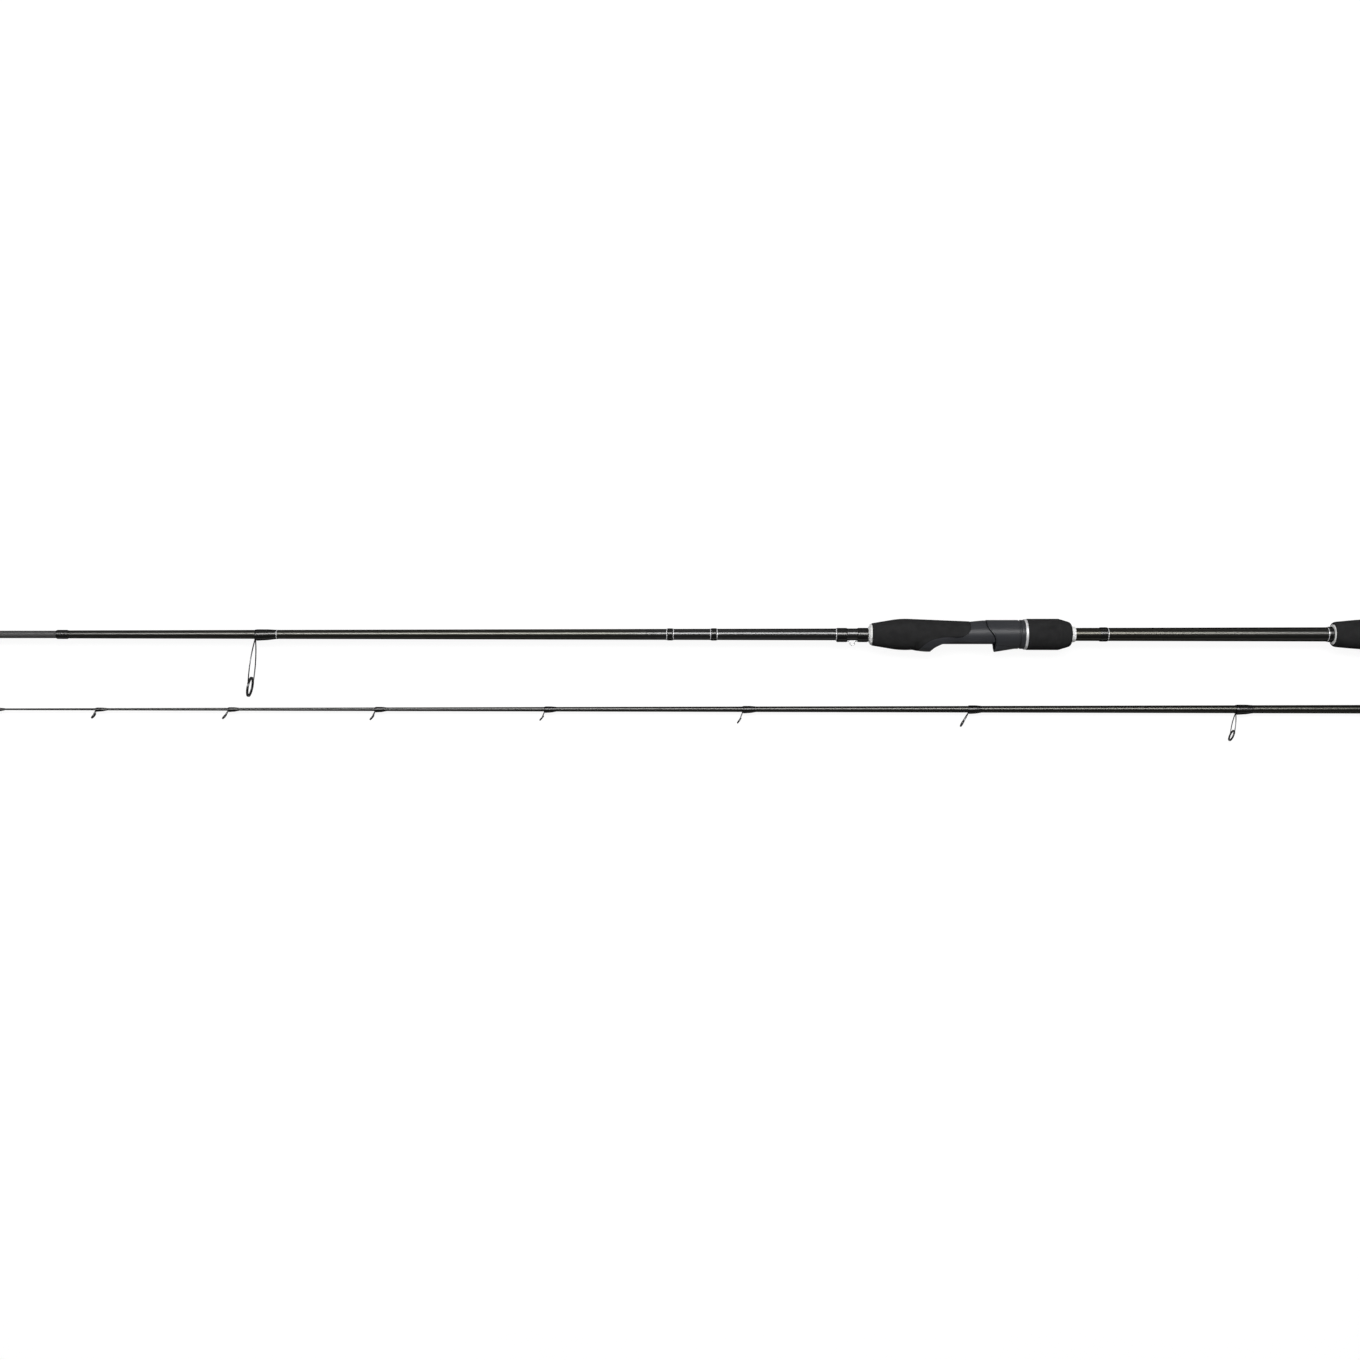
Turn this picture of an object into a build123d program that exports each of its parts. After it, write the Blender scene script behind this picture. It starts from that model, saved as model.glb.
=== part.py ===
from build123d import *
import os
from dataclasses import dataclass
from math import cos, radians, sin, tan

# A two-piece spinning rod, taken apart: the butt section with its grips and reel seat lies beside the tip
# section. Millimetres. Each section is drawn about its own axis: x runs along the rod towards the butt, the
# guides and the reel hang towards -y, and z points up from the surface that the rod lies on.

# Butt blank, x = 0 at the ferrule shoulder
BUTT_LENGTH = 1035.0
BUTT_FRONT_DIA = 5.75
BUTT_REAR_DIA = 10.9
BUTT_WALL = 1.1
FERRULE_DIA = 5.4
FERRULE_LENGTH = 60.0
FERRULE_CHAMFER = 0.4

# Tip blank, x = 0 at its open end, where the socket takes the ferrule
TIP_LENGTH = 1095.0
TIP_REAR_DIA = 6.48
TIP_FRONT_DIA = 0.92
TIP_WALL = 0.4
TIP_SOLID_LENGTH = 250.0
SOCKET_CLEARANCE = 0.03
SOCKET_DEPTH = 62.0

# How the two sections lie
AXIS_SPACING = 54.0
TIP_SETBACK = 49.0

# Thread wraps and silver trim
WRAP_BUILD = 0.4
WRAP_EDGE = 0.5
TRIM_BUILD = 0.3
TRIM_WIDTH = 0.75
FERRULE_WRAP_LENGTH = 8.0
SOCKET_WRAP_LENGTH = 10.0
LABEL_BAND_STATIONS = (439.4, 470.9)
LABEL_BAND_LENGTH = 4.0
ACCENT_LENGTH = 5.4
BUTT_ACCENT_LENGTH = 3.4

# A guide's wrap along its length: where, how much of the thread's build, how much of the foot's thickness
FOOT_WRAP_FORM = ((0.0, 0.5, 1.0), (0.1, 1.0, 1.0), (0.6, 0.9, 0.55), (1.0, 0.15, 0.0))

# Guides: sizes that follow the ring's diameter, each as a base and a share of that diameter
HOLDER_WALL_BASE = 0.22
HOLDER_WALL_SHARE = 0.043
HOLDER_DEPTH_BASE = 0.5
HOLDER_DEPTH_SHARE = 0.055
CERAMIC_WALL_BASE = 0.3
CERAMIC_WALL_SHARE = 0.043
CERAMIC_PROUD = 1.35
LEG_DIA_BASE = 0.5
LEG_DIA_SHARE = 0.025
LEG_BOW = 0.115
LEG_SPREAD = 76.0
FOOT_THICK_BASE = 0.38
FOOT_THICK_SHARE = 0.03
FOOT_WIDTH_BASE = 0.75
FOOT_WIDTH_SHARE = 0.11
FOOT_TOE = 0.4
FOOT_HEEL = 0.12
FOOT_UNDER_WRAP = 0.75
GUIDE_WRAP_BUILD = 0.45

# Stripper guide: the middle of its ring, its ring, its height over the blank, the lean of its legs, the tilt of
# its ring and the length of its wrap
STRIPPER_STATION = 139.0
STRIPPER_RING_DIA = 14.6
STRIPPER_HEIGHT = 34.5
STRIPPER_LEAN = 6.3
STRIPPER_TILT = 10.0
STRIPPER_WRAP_LENGTH = 15.4

# Tip guides in the same way, from the grip towards the tip; their stations are measured from the tip
TIP_GUIDE_STATIONS = (957.0, 761.9, 600.4, 457.4, 334.5, 227.7, 132.9, 59.6)
TIP_GUIDE_RING_DIAS = (8.6, 5.6, 5.0, 4.6, 4.6, 4.6, 4.6, 4.6)
TIP_GUIDE_HEIGHTS = (16.1, 7.8, 6.2, 4.8, 4.7, 4.2, 4.0, 4.0)
TIP_GUIDE_LEANS = (10.0, 29.0, 21.5, 22.6, 25.0, 32.0, 22.0, 24.0)
TIP_GUIDE_TILTS = (22.6, 29.0, 35.0, 40.0, 40.0, 40.0, 38.0, 40.0)
TIP_GUIDE_WRAP_LENGTHS = (12.2, 9.4, 9.4, 8.6, 8.3, 7.9, 8.3, 7.5)

# Tip-top
TIP_TOP_TUBE_LENGTH = 9.0
TIP_TOP_TUBE_DIA = 1.9
TIP_TOP_CAP = 0.6
TIP_TOP_RING_DIA = 4.6
TIP_TOP_TILT = 48.0
TIP_TOP_LEG_DIA = 0.6
TIP_TOP_LEG_SPREAD = 100.0
TIP_TOP_WRAP_LENGTH = 4.0
TIP_TOP_WRAP_EDGE = 0.1

# Hook keeper
KEEPER_STATION = 572.5
KEEPER_WIRE_DIA = 0.8
KEEPER_LOOP_DIA = 4.3
KEEPER_LOOP_DROP = 3.7
KEEPER_BEND = 0.7
KEEPER_WINDOW = 7.6
KEEPER_WRAP_LENGTH = 7.4
KEEPER_WRAP_BUILD = 0.4
KEEPER_LIFT = 0.05
KEEPER_FOOT_SHARE = 0.8
KEEPER_LOOP_ROUND = 0.98

# Foregrip, x given from its front face
GRIP_STATION = 586.45
GRIP_FRONT_DIA = 15.9
GRIP_SWELL_DIA = 22.76
GRIP_SWELL_AT = 20.4
GRIP_TAIL_DIA = 18.6
GRIP_TAIL_AT = 70.5
GRIP_ROUND = 60.0
GRIP_LOWER_EDGE = 2.45
GRIP_TAIL_RADIUS = 8.6
CHECK_LENGTH = 2.45
CHECK_RIM = 1.0
CHECK_SMALL_LIP = 0.5

# Where the foregrip's lower edge sweeps up, as (x, drop below the axis), and where it runs straight
GRIP_SWEEP = ((28.9, 13.3), (32.1, 8.3), (37.4, 4.8))
GRIP_SWEEP_END = 46.5

# Reel seat, x given from the foregrip's front face
BARREL_DIA = 14.0
BARREL_BORE = 11.0
BARREL_START = 19.5
SADDLE_FRONT_DIA = 21.2
SADDLE_WAIST_DIA = 18.4
SADDLE_REAR_DIA = 20.2
SADDLE_SWELL_BACK = 1.5
SADDLE_RIM_REAR = 5.9
HOOD_START = 82.2
HOOD_SLANT = 6.1
HOOD_GAP = 1.0
TONGUE_DIA = 18.2
TONGUE_LENGTH = 8.0
HOOD_EDGE_TOP = 7.5
HOOD_EDGE_MIDDLE = 1.1
HOOD_EDGE_BOTTOM = -6.0
FRONT_LIP_AT = 41.9
FRONT_LIP_DROP = 12.5
FRONT_HOOD_RISE = 8.0
FRONT_NOSE_AT = 20.0
FRONT_NOSE_DROP = 7.9
FRONT_HEEL_AT = 60.0
FRONT_HEEL_DROP = 8.85
COWL_WALL = 0.95
COWL_TOP = 2.0
POCKET_TOP = 3.2
FRONT_POCKET_DEPTH = 12.5
ARBOR_LENGTH = 10.0

# The fixed hood's mouth behind its lip, as (x, drop below the axis), and the slope of the lip itself
FRONT_MOUTH = ((45.8, 9.1), (52.2, 6.6), (60.0, 5.5))
FRONT_MOUTH_SLOPE = 0.6

# Sliding hood and lock nut
SLIDE_CLEARANCE = 0.3
HOOD_DIA = 20.8
HOOD_LENGTH = 22.9
REAR_LIP_DROP = 12.7
REAR_COWL_DIA = 13.6
REAR_COWL_TILT = 9.0
REAR_POCKET_DEPTH = 10.2
KEY_WIDTH = 1.8
KEY_DEPTH = 0.55
SPIGOT_DIA = 17.0
SPIGOT_LENGTH = 5.2
SNAP_BEAD = 0.5
SNAP_WIDTH = 1.0
NECK_DIA = 19.4
NECK_LENGTH = 1.2
COLLAR_DIA = 20.9
COLLAR_LENGTH = 2.8
NUT_CORE_DIA = 17.4
NUT_RING_DIA = 22.0
NUT_RING_LENGTH = 1.7
NUT_GRIP_DIA = 22.3
NUT_GRIP_LENGTH = 32.2
NUT_GRIP_STRAIGHT = 23.1
NUT_TAIL_DIA = 18.4
NUT_TAIL_ROUND = 2.6
NUT_END_BORE = 10.1
NUT_END_FLANGE_DIA = 12.6
NUT_END_FLANGE = 3.5
NUT_END_DIA = 12.0
NUT_END_LENGTH = 3.0
NUT_END_WALL = 0.3
NUT_TRAVEL = 12.0
NUT_TO_ACCENT = 5.75
BARREL_SETBACK = 1.0

# Butt grip and cap
BUTT_GRIP_LENGTH = 104.6
BUTT_GRIP_FRONT_DIA = 15.4
BUTT_GRIP_SHOULDER_DIA = 18.3
BUTT_GRIP_SHOULDER_AT = 2.6
BUTT_GRIP_SWELL_DIA = 23.0
BUTT_GRIP_SWELL_AT = 39.6
BUTT_GRIP_WAIST_DIA = 21.4
BUTT_GRIP_WAIST_AT = 80.6
BUTT_CAP_DIA = 22.4
BUTT_CAP_LENGTH = 12.0
BUTT_CAP_ROUND = 3.0
BUTT_CAP_FLOOR = 9.0
BUTT_PLUG_LENGTH = 10.0
BUTT_PLUG_CLEARANCE = 0.05
BUTT_CHECK_DIA = 14.6
BUTT_CHECK_LENGTH = 1.9
BUTT_CHECK_PROUD = 0.4

# Reach of the cutting shapes past the pieces that they cut
REACH = 40.0


@dataclass
class Taper:
    """A round tapering surface about the x axis."""

    x0: float
    radius0: float
    x1: float
    radius1: float

    def radius(self, x):
        share = (x - self.x0) / (self.x1 - self.x0)
        return self.radius0 + share * (self.radius1 - self.radius0)

    def core(self, start, end):
        """The solid inside the surface."""
        return turned((start, 0), (start, self.radius(start)), (end, self.radius(end)), (end, 0))


@dataclass
class Guide:
    """One single-foot line guide; stations and lengths along x, the height from the blank's surface."""

    name: str
    station: float
    ring_dia: float
    height: float
    lean: float
    tilt: float
    wrap_length: float

    def sized(self, base, share):
        return base + share * self.ring_dia

    @property
    def toe(self):
        """Where the legs leave the blank and the wrap starts."""
        return self.station + self.height * tan(radians(self.lean))


BUTT = Taper(0, BUTT_FRONT_DIA / 2, BUTT_LENGTH, BUTT_REAR_DIA / 2)
TIP = Taper(-TIP_LENGTH, TIP_FRONT_DIA / 2, 0, TIP_REAR_DIA / 2)

STRIPPER = Guide(
    "stripper_guide",
    STRIPPER_STATION,
    STRIPPER_RING_DIA,
    STRIPPER_HEIGHT,
    STRIPPER_LEAN,
    STRIPPER_TILT,
    STRIPPER_WRAP_LENGTH,
)
TIP_GUIDE_SIZES = zip(
    TIP_GUIDE_STATIONS,
    TIP_GUIDE_RING_DIAS,
    TIP_GUIDE_HEIGHTS,
    TIP_GUIDE_LEANS,
    TIP_GUIDE_TILTS,
    TIP_GUIDE_WRAP_LENGTHS,
)
TIP_GUIDES = [
    Guide(f"tip_guide_{number}", station - TIP_LENGTH, *sizes)
    for number, (station, *sizes) in enumerate(TIP_GUIDE_SIZES, start=1)
]

# Stations that follow from the sizes above, along the butt section
BARREL_RADIUS = BARREL_DIA / 2
SLIDE_BORE = BARREL_RADIUS + SLIDE_CLEARANCE
HOOD_END = HOOD_START + HOOD_LENGTH
NECK_START = HOOD_END + SLIDE_CLEARANCE
COLLAR_START = NECK_START + NECK_LENGTH
NUT_RING_START = COLLAR_START + COLLAR_LENGTH
NUT_GRIP_START = NUT_RING_START + NUT_RING_LENGTH
NUT_GRIP_END = NUT_GRIP_START + NUT_GRIP_LENGTH
NUT_CORE_END = NUT_GRIP_END - NUT_END_FLANGE
NUT_END = NUT_GRIP_END + NUT_END_LENGTH
BARREL_END = NUT_CORE_END - BARREL_SETBACK
REAR_LIP_AT = HOOD_START + HOOD_SLANT
ACCENT_STATION = GRIP_STATION + NUT_END + NUT_TRAVEL + NUT_TO_ACCENT
CAP_STATION = BUTT_LENGTH - BUTT_CAP_LENGTH
BUTT_GRIP_STATION = CAP_STATION - BUTT_GRIP_LENGTH
BUTT_CHECK_STATION = BUTT_GRIP_STATION - BUTT_CHECK_PROUD
BUTT_CHECK_END = BUTT_CHECK_STATION + BUTT_CHECK_LENGTH
BUTT_ACCENT_STATION = BUTT_CHECK_STATION - BUTT_ACCENT_LENGTH
BUTT_BLANK_END = BUTT_LENGTH - BUTT_CAP_FLOOR
BUTT_BORE = Taper(
    -FERRULE_LENGTH, FERRULE_DIA / 2 - BUTT_WALL, BUTT_BLANK_END, BUTT.radius(BUTT_BLANK_END) - BUTT_WALL
)
SOCKET_RADIUS = FERRULE_DIA / 2 + SOCKET_CLEARANCE


def turned(*points):
    """A solid of revolution about the x axis from a closed outline of (x, radius) points."""
    return revolve(make_face(Polyline(*points, close=True)), Axis.X)


def turned_curves(*curves):
    """A solid of revolution about the x axis from curves that close an outline."""
    return revolve(make_face([edge for curve in curves for edge in curve.edges()]), Axis.X)


def slab(*curves):
    """A side-view outline, extruded through the whole width of the rod."""
    face = make_face([edge for curve in curves for edge in curve.edges()])
    return extrude(face, amount=REACH, both=True)


def below(height, start, end):
    """The space under a height, between two stations."""
    return slab(Polyline((start, height), (end, height), (end, -REACH), (start, -REACH), close=True))


def sleeve(taper, start, end, build, edge):
    """A band wound on a blank, with its two edges rounded off."""
    first, last = taper.radius(start), taper.radius(end)
    low = build / 2
    return turned(
        (start, first),
        (start, first + low),
        (start + edge, taper.radius(start + edge) + build),
        (end - edge, taper.radius(end - edge) + build),
        (end, last + low),
        (end, last),
    )


def trim_band(start):
    """A silver trim thread on the butt blank."""
    return sleeve(BUTT, start, start + TRIM_WIDTH, TRIM_BUILD, TRIM_WIDTH / 4)


def wire(diameter, path):
    """A round wire along a path."""
    return sweep((path ^ 0) * Circle(diameter / 2), path=path)


def eccentric_circle(x, above, beneath):
    """A circle across the rod that reaches so far above and so far beneath the axis."""
    plane = Plane(origin=(x, (above - beneath) / 2, 0), x_dir=(0, 1, 0), z_dir=(1, 0, 0))
    return plane * Circle((above + beneath) / 2)


def foot_wrap(taper, toe, length, thickness, build):
    """The outer form of a thread wrap that covers a foot under the blank and tapers off behind it."""
    circles = []
    for along, thread, foot in FOOT_WRAP_FORM:
        x = toe + along * length
        above = taper.radius(x) + thread * build
        circles.append(eccentric_circle(x, above, above + foot * thickness))
    return loft(circles, ruled=True)


def ring_plane(centre, tilt):
    """The plane of a guide ring: its top leans back by the tilt."""
    lean = radians(tilt)
    return Plane(origin=centre, x_dir=(sin(lean), cos(lean), 0), z_dir=(cos(lean), -sin(lean), 0))


def ring_point(plane, radius, angle):
    """A point on a guide ring, at an angle from its top."""
    return plane.from_local_coords((radius * cos(radians(angle)), radius * sin(radians(angle)), 0))


def ring_sizes(guide):
    """The holder's bore radius, the holder's depth and the radius of the line hole."""
    bore = guide.ring_dia / 2 - guide.sized(HOLDER_WALL_BASE, HOLDER_WALL_SHARE)
    depth = guide.sized(HOLDER_DEPTH_BASE, HOLDER_DEPTH_SHARE)
    return bore, depth, bore - guide.sized(CERAMIC_WALL_BASE, CERAMIC_WALL_SHARE)


def ceramic_ring(plane, guide):
    """The hard ring in its holder, rounded towards the line."""
    bore, depth, hole = ring_sizes(guide)
    half = CERAMIC_PROUD * depth / 2
    back = Line((bore, 0, -half), (bore, 0, half))
    lip = ThreePointArc((bore, 0, half), (hole, 0, 0), (bore, 0, -half))
    return plane * revolve(make_face([back, lip]), Axis.Z)


def guide_ring_holder(plane, guide):
    """The metal hoop round the hard ring, not bored yet."""
    _, depth, _ = ring_sizes(guide)
    return plane * Cylinder(guide.ring_dia / 2, depth)


def bored(frame, plane, guide):
    """A guide frame with the seat for its hard ring cut out."""
    bore, depth, _ = ring_sizes(guide)
    return frame - plane * Cylinder(bore, 4 * depth)


def guide_foot(taper, guide, thickness, width):
    """The foot, a wedge that thins out under the wrap."""
    heel = guide.toe + FOOT_UNDER_WRAP * guide.wrap_length
    sole = -taper.radius(guide.toe) / 2
    front = -(taper.radius(guide.toe) + thickness)
    outline = Polyline(
        (guide.toe - FOOT_TOE, sole),
        (guide.toe - FOOT_TOE, front),
        (guide.toe + FOOT_TOE, front),
        (heel, -(taper.radius(heel) + FOOT_HEEL)),
        (heel, sole),
        close=True,
    )
    return extrude(make_face(outline), amount=width / 2, both=True)


def guide_pieces(taper, guide):
    """Frame, hard ring and thread wrap of one guide."""
    thickness = guide.sized(FOOT_THICK_BASE, FOOT_THICK_SHARE)
    width = guide.sized(FOOT_WIDTH_BASE, FOOT_WIDTH_SHARE)
    leg_dia = guide.sized(LEG_DIA_BASE, LEG_DIA_SHARE)
    wall = guide.sized(HOLDER_WALL_BASE, HOLDER_WALL_SHARE)
    plane = ring_plane((guide.station, -taper.radius(guide.station) - guide.height, 0), guide.tilt)
    frame = guide_ring_holder(plane, guide) + guide_foot(taper, guide, thickness, width)
    for side in (-1, 1):
        start = Vector(guide.toe, -taper.radius(guide.toe) - thickness / 2, side * width / 4)
        end = ring_point(plane, guide.ring_dia / 2 - wall / 2, side * LEG_SPREAD)
        bow = Vector(0, 0, side * LEG_BOW * (end - start).length)
        frame += wire(leg_dia, ThreePointArc(start, (start + end) / 2 + bow, end))
    blank = taper.core(guide.toe - guide.wrap_length, guide.toe + 2 * guide.wrap_length)
    frame = bored(frame, plane, guide) - blank
    wrap = foot_wrap(taper, guide.toe, guide.wrap_length, thickness, GUIDE_WRAP_BUILD) - blank - frame
    return frame, ceramic_ring(plane, guide), wrap


def tip_top_pieces():
    """Frame, hard ring and thread wrap of the guide on the very tip."""
    guide = Guide("tip_top", -TIP_LENGTH, TIP_TOP_RING_DIA, 0, 0, TIP_TOP_TILT, TIP_TOP_WRAP_LENGTH)
    rear = -TIP_LENGTH + TIP_TOP_TUBE_LENGTH
    front = -TIP_LENGTH - TIP_TOP_CAP
    tube_radius = TIP_TOP_TUBE_DIA / 2
    lean = radians(TIP_TOP_TILT)
    reach = TIP_TOP_RING_DIA / 2
    plane = ring_plane((front - reach * sin(lean), -reach * cos(lean), 0), TIP_TOP_TILT)
    frame = guide_ring_holder(plane, guide)
    frame += turned((front, 0), (front, tube_radius), (rear, tube_radius), (rear, 0))
    wall = guide.sized(HOLDER_WALL_BASE, HOLDER_WALL_SHARE)
    for side in (-1, 1):
        start = Vector(-TIP_LENGTH + TIP_TOP_TUBE_LENGTH / 2, -tube_radius, side * tube_radius / 2)
        end = ring_point(plane, reach - wall / 2, side * TIP_TOP_LEG_SPREAD)
        frame += wire(TIP_TOP_LEG_DIA, Line(start, end))
    frame = bored(frame, plane, guide) - TIP.core(-TIP_LENGTH, rear + WRAP_EDGE)
    wrap = turned(
        (rear, TIP.radius(rear)),
        (rear, tube_radius),
        (rear + TIP_TOP_WRAP_LENGTH, TIP.radius(rear + TIP_TOP_WRAP_LENGTH) + TIP_TOP_WRAP_EDGE),
        (rear + TIP_TOP_WRAP_LENGTH, TIP.radius(rear + TIP_TOP_WRAP_LENGTH)),
    )
    return frame, ceramic_ring(plane, guide), wrap


def butt_blank():
    """The butt section's tube, with the male ferrule in front of its shoulder."""
    ferrule = FERRULE_DIA / 2
    tube = turned(
        (-FERRULE_LENGTH, 0),
        (-FERRULE_LENGTH, ferrule - FERRULE_CHAMFER),
        (-FERRULE_LENGTH + FERRULE_CHAMFER, ferrule),
        (0, ferrule),
        (0, BUTT.radius(0)),
        (BUTT_BLANK_END, BUTT.radius(BUTT_BLANK_END)),
        (BUTT_BLANK_END, 0),
    )
    return tube - BUTT_BORE.core(-FERRULE_LENGTH, BUTT_BLANK_END)


def tip_blank():
    """The tip section's tube: a straight socket at its open end, then a tapering bore and a solid tip."""
    hollow_end = -TIP_LENGTH + TIP_SOLID_LENGTH
    outside = TIP.core(-TIP_LENGTH, 0)
    socket = turned((-SOCKET_DEPTH, 0), (-SOCKET_DEPTH, SOCKET_RADIUS), (0, SOCKET_RADIUS), (0, 0))
    bore = turned(
        (hollow_end, 0),
        (hollow_end, TIP.radius(hollow_end) - TIP_WALL),
        (-SOCKET_DEPTH, TIP.radius(-SOCKET_DEPTH) - TIP_WALL),
        (-SOCKET_DEPTH, 0),
    )
    return outside - socket - bore


def label_band_wraps():
    """Two narrow bands that frame the bare label space on the butt blank."""
    return [sleeve(BUTT, x, x + LABEL_BAND_LENGTH, WRAP_BUILD, WRAP_EDGE) for x in LABEL_BAND_STATIONS]


def silver_trim_bands():
    """The silver threads beside the wraps."""
    starts = [STRIPPER.toe + STRIPPER.wrap_length]
    for station in LABEL_BAND_STATIONS:
        starts.append(station - TRIM_WIDTH)
        starts.append(station + LABEL_BAND_LENGTH)
    starts.append(KEEPER_STATION - KEEPER_WINDOW / 2 - KEEPER_WRAP_LENGTH - TRIM_WIDTH)
    starts.append(ACCENT_STATION + ACCENT_LENGTH)
    starts.append(BUTT_ACCENT_STATION - TRIM_WIDTH)
    return [trim_band(start) for start in starts]


def hook_keeper():
    """A bent wire: two feet along the blank and a loop between them."""
    half = KEEPER_WINDOW / 2 + KEEPER_FOOT_SHARE * KEEPER_WRAP_LENGTH
    side = KEEPER_LOOP_DIA / 2 - KEEPER_WIRE_DIA / 2
    seat = -(BUTT.radius(KEEPER_STATION + half) + KEEPER_WIRE_DIA / 2 + KEEPER_LIFT)
    bottom = seat - KEEPER_LOOP_DROP + KEEPER_WIRE_DIA
    loop = KEEPER_LOOP_ROUND * side
    path = FilletPolyline(
        (KEEPER_STATION - half, seat),
        (KEEPER_STATION - side, seat),
        (KEEPER_STATION - side, bottom),
        (KEEPER_STATION + side, bottom),
        (KEEPER_STATION + side, seat),
        (KEEPER_STATION + half, seat),
        radius=[KEEPER_BEND, loop, loop, KEEPER_BEND],
    )
    return wire(KEEPER_WIRE_DIA, path)


def keeper_wraps(keeper):
    """The two thread wraps that bind the keeper's feet to the blank."""
    front = KEEPER_STATION - KEEPER_WINDOW / 2 - KEEPER_WRAP_LENGTH
    rear = KEEPER_STATION + KEEPER_WINDOW / 2
    wraps = []
    for start in (front, rear):
        above = BUTT.radius(start) + KEEPER_WRAP_BUILD
        beneath = BUTT.radius(start) + KEEPER_WIRE_DIA + KEEPER_LIFT + KEEPER_WRAP_BUILD
        edge_above = above - KEEPER_WRAP_BUILD / 2
        edge_beneath = beneath - KEEPER_WRAP_BUILD / 2
        end = start + KEEPER_WRAP_LENGTH
        form = loft(
            [
                eccentric_circle(start, edge_above, edge_beneath),
                eccentric_circle(start + WRAP_EDGE, above, beneath),
                eccentric_circle(end - WRAP_EDGE, above, beneath),
                eccentric_circle(end, edge_above, edge_beneath),
            ],
            ruled=True,
        )
        wraps.append(form - BUTT.core(start - WRAP_EDGE, end + WRAP_EDGE) - keeper)
    return wraps


def front_winding_check():
    """The white cone between the keeper and the foregrip."""
    start = GRIP_STATION - CHECK_LENGTH
    outer = GRIP_FRONT_DIA / 2 - CHECK_SMALL_LIP
    return turned(
        (start, BUTT.radius(start)),
        (start, BUTT.radius(start) + CHECK_SMALL_LIP),
        (GRIP_STATION - CHECK_RIM, outer),
        (GRIP_STATION, outer),
        (GRIP_STATION, BUTT.radius(GRIP_STATION)),
    )


def foregrip_side():
    """The foregrip's side view: all above a lower edge that sweeps up and ends in a round tail."""
    edge = -GRIP_LOWER_EDGE
    turn = GRIP_TAIL_AT - GRIP_TAIL_RADIUS
    diagonal = GRIP_TAIL_RADIUS * sin(radians(45))
    points = [(x, -drop) for x, drop in GRIP_SWEEP]
    lower = Spline(*points, (GRIP_SWEEP_END, edge), tangents=[(0.3, 1), (1, 0)])
    straight = Line((GRIP_SWEEP_END, edge), (turn, edge))
    tail = ThreePointArc(
        (turn, edge),
        (turn + diagonal, edge + GRIP_TAIL_RADIUS - diagonal),
        (GRIP_TAIL_AT, edge + GRIP_TAIL_RADIUS),
    )
    rest = Polyline(
        (GRIP_TAIL_AT, edge + GRIP_TAIL_RADIUS),
        (GRIP_TAIL_AT, REACH),
        (0, REACH),
        (0, points[0][1]),
        points[0],
    )
    return slab(lower, straight, tail, rest)


def foregrip_outside():
    """The foregrip's turned form, before its underside is cut away."""
    top = FilletPolyline(
        (0, GRIP_FRONT_DIA / 2),
        (GRIP_SWELL_AT, GRIP_SWELL_DIA / 2),
        (GRIP_TAIL_AT, GRIP_TAIL_DIA / 2),
        radius=GRIP_ROUND,
    )
    rest = Polyline((GRIP_TAIL_AT, GRIP_TAIL_DIA / 2), (GRIP_TAIL_AT, 0), (0, 0), (0, GRIP_FRONT_DIA / 2))
    return turned_curves(top, rest)


def blank_at_grip():
    """The blank as it runs through the grip and seat, in the seat's own stations."""
    return Pos(-GRIP_STATION, 0, 0) * BUTT.core(GRIP_STATION - REACH, ACCENT_STATION)


def tilted_tube(lip_at, lip_drop, diameter, tilt, length):
    """A cylinder whose lowest line passes through a hood's lip and slopes by the tilt."""
    lean = radians(tilt)
    axis_y = -lip_drop + diameter / 2 / cos(lean)
    plane = Plane(origin=(lip_at, axis_y, 0), x_dir=(0, 0, 1), z_dir=(cos(lean), sin(lean), 0))
    return plane * Cylinder(diameter / 2, 2 * length)


def barrel():
    """The seat's inner tube, filled."""
    start, end = BARREL_START, BARREL_END
    return turned((start, 0), (start, BARREL_RADIUS), (end, BARREL_RADIUS), (end, 0))


def front_hood_form(inset):
    """The fixed hood's round form, fullest at its lip; an inset gives the inside of its wall."""
    stations = (
        (FRONT_NOSE_AT, FRONT_NOSE_DROP),
        (FRONT_LIP_AT, FRONT_LIP_DROP),
        (FRONT_HEEL_AT, FRONT_HEEL_DROP),
    )
    return loft([eccentric_circle(x, FRONT_HOOD_RISE - inset, drop - inset) for x, drop in stations])


def front_cowl():
    """The fixed hood's outer form, a sloping shell under the barrel."""
    return front_hood_form(0) & below(-COWL_TOP, FRONT_NOSE_AT, FRONT_HEEL_AT)


def front_pocket():
    """The space under the fixed hood that takes the front end of a reel foot."""
    space = below(-POCKET_TOP, FRONT_LIP_AT - FRONT_POCKET_DEPTH, FRONT_HEEL_AT)
    return (front_hood_form(COWL_WALL) & space) - barrel()


def hood_front_edge(shift):
    """The slanting line in side view where the seat body ends and the sliding hood begins."""
    x = HOOD_START + shift
    top = (x, HOOD_EDGE_TOP)
    middle = (x + HOOD_SLANT / 2, HOOD_EDGE_MIDDLE)
    bottom = (x + HOOD_SLANT, HOOD_EDGE_BOTTOM)
    slant = Spline(top, middle, bottom, tangents=[(0, -1), (0.1, -1)])
    return [Line((x, REACH), top), slant, Line(bottom, (x + HOOD_SLANT, -REACH))]


def tongue():
    """The step at the saddle's rear end that the sliding hood's edge closes against."""
    start, end = HOOD_START - TONGUE_LENGTH, HOOD_START + HOOD_SLANT
    radius = TONGUE_DIA / 2
    return turned((start, 0), (start, radius), (end, radius), (end, 0))


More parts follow.
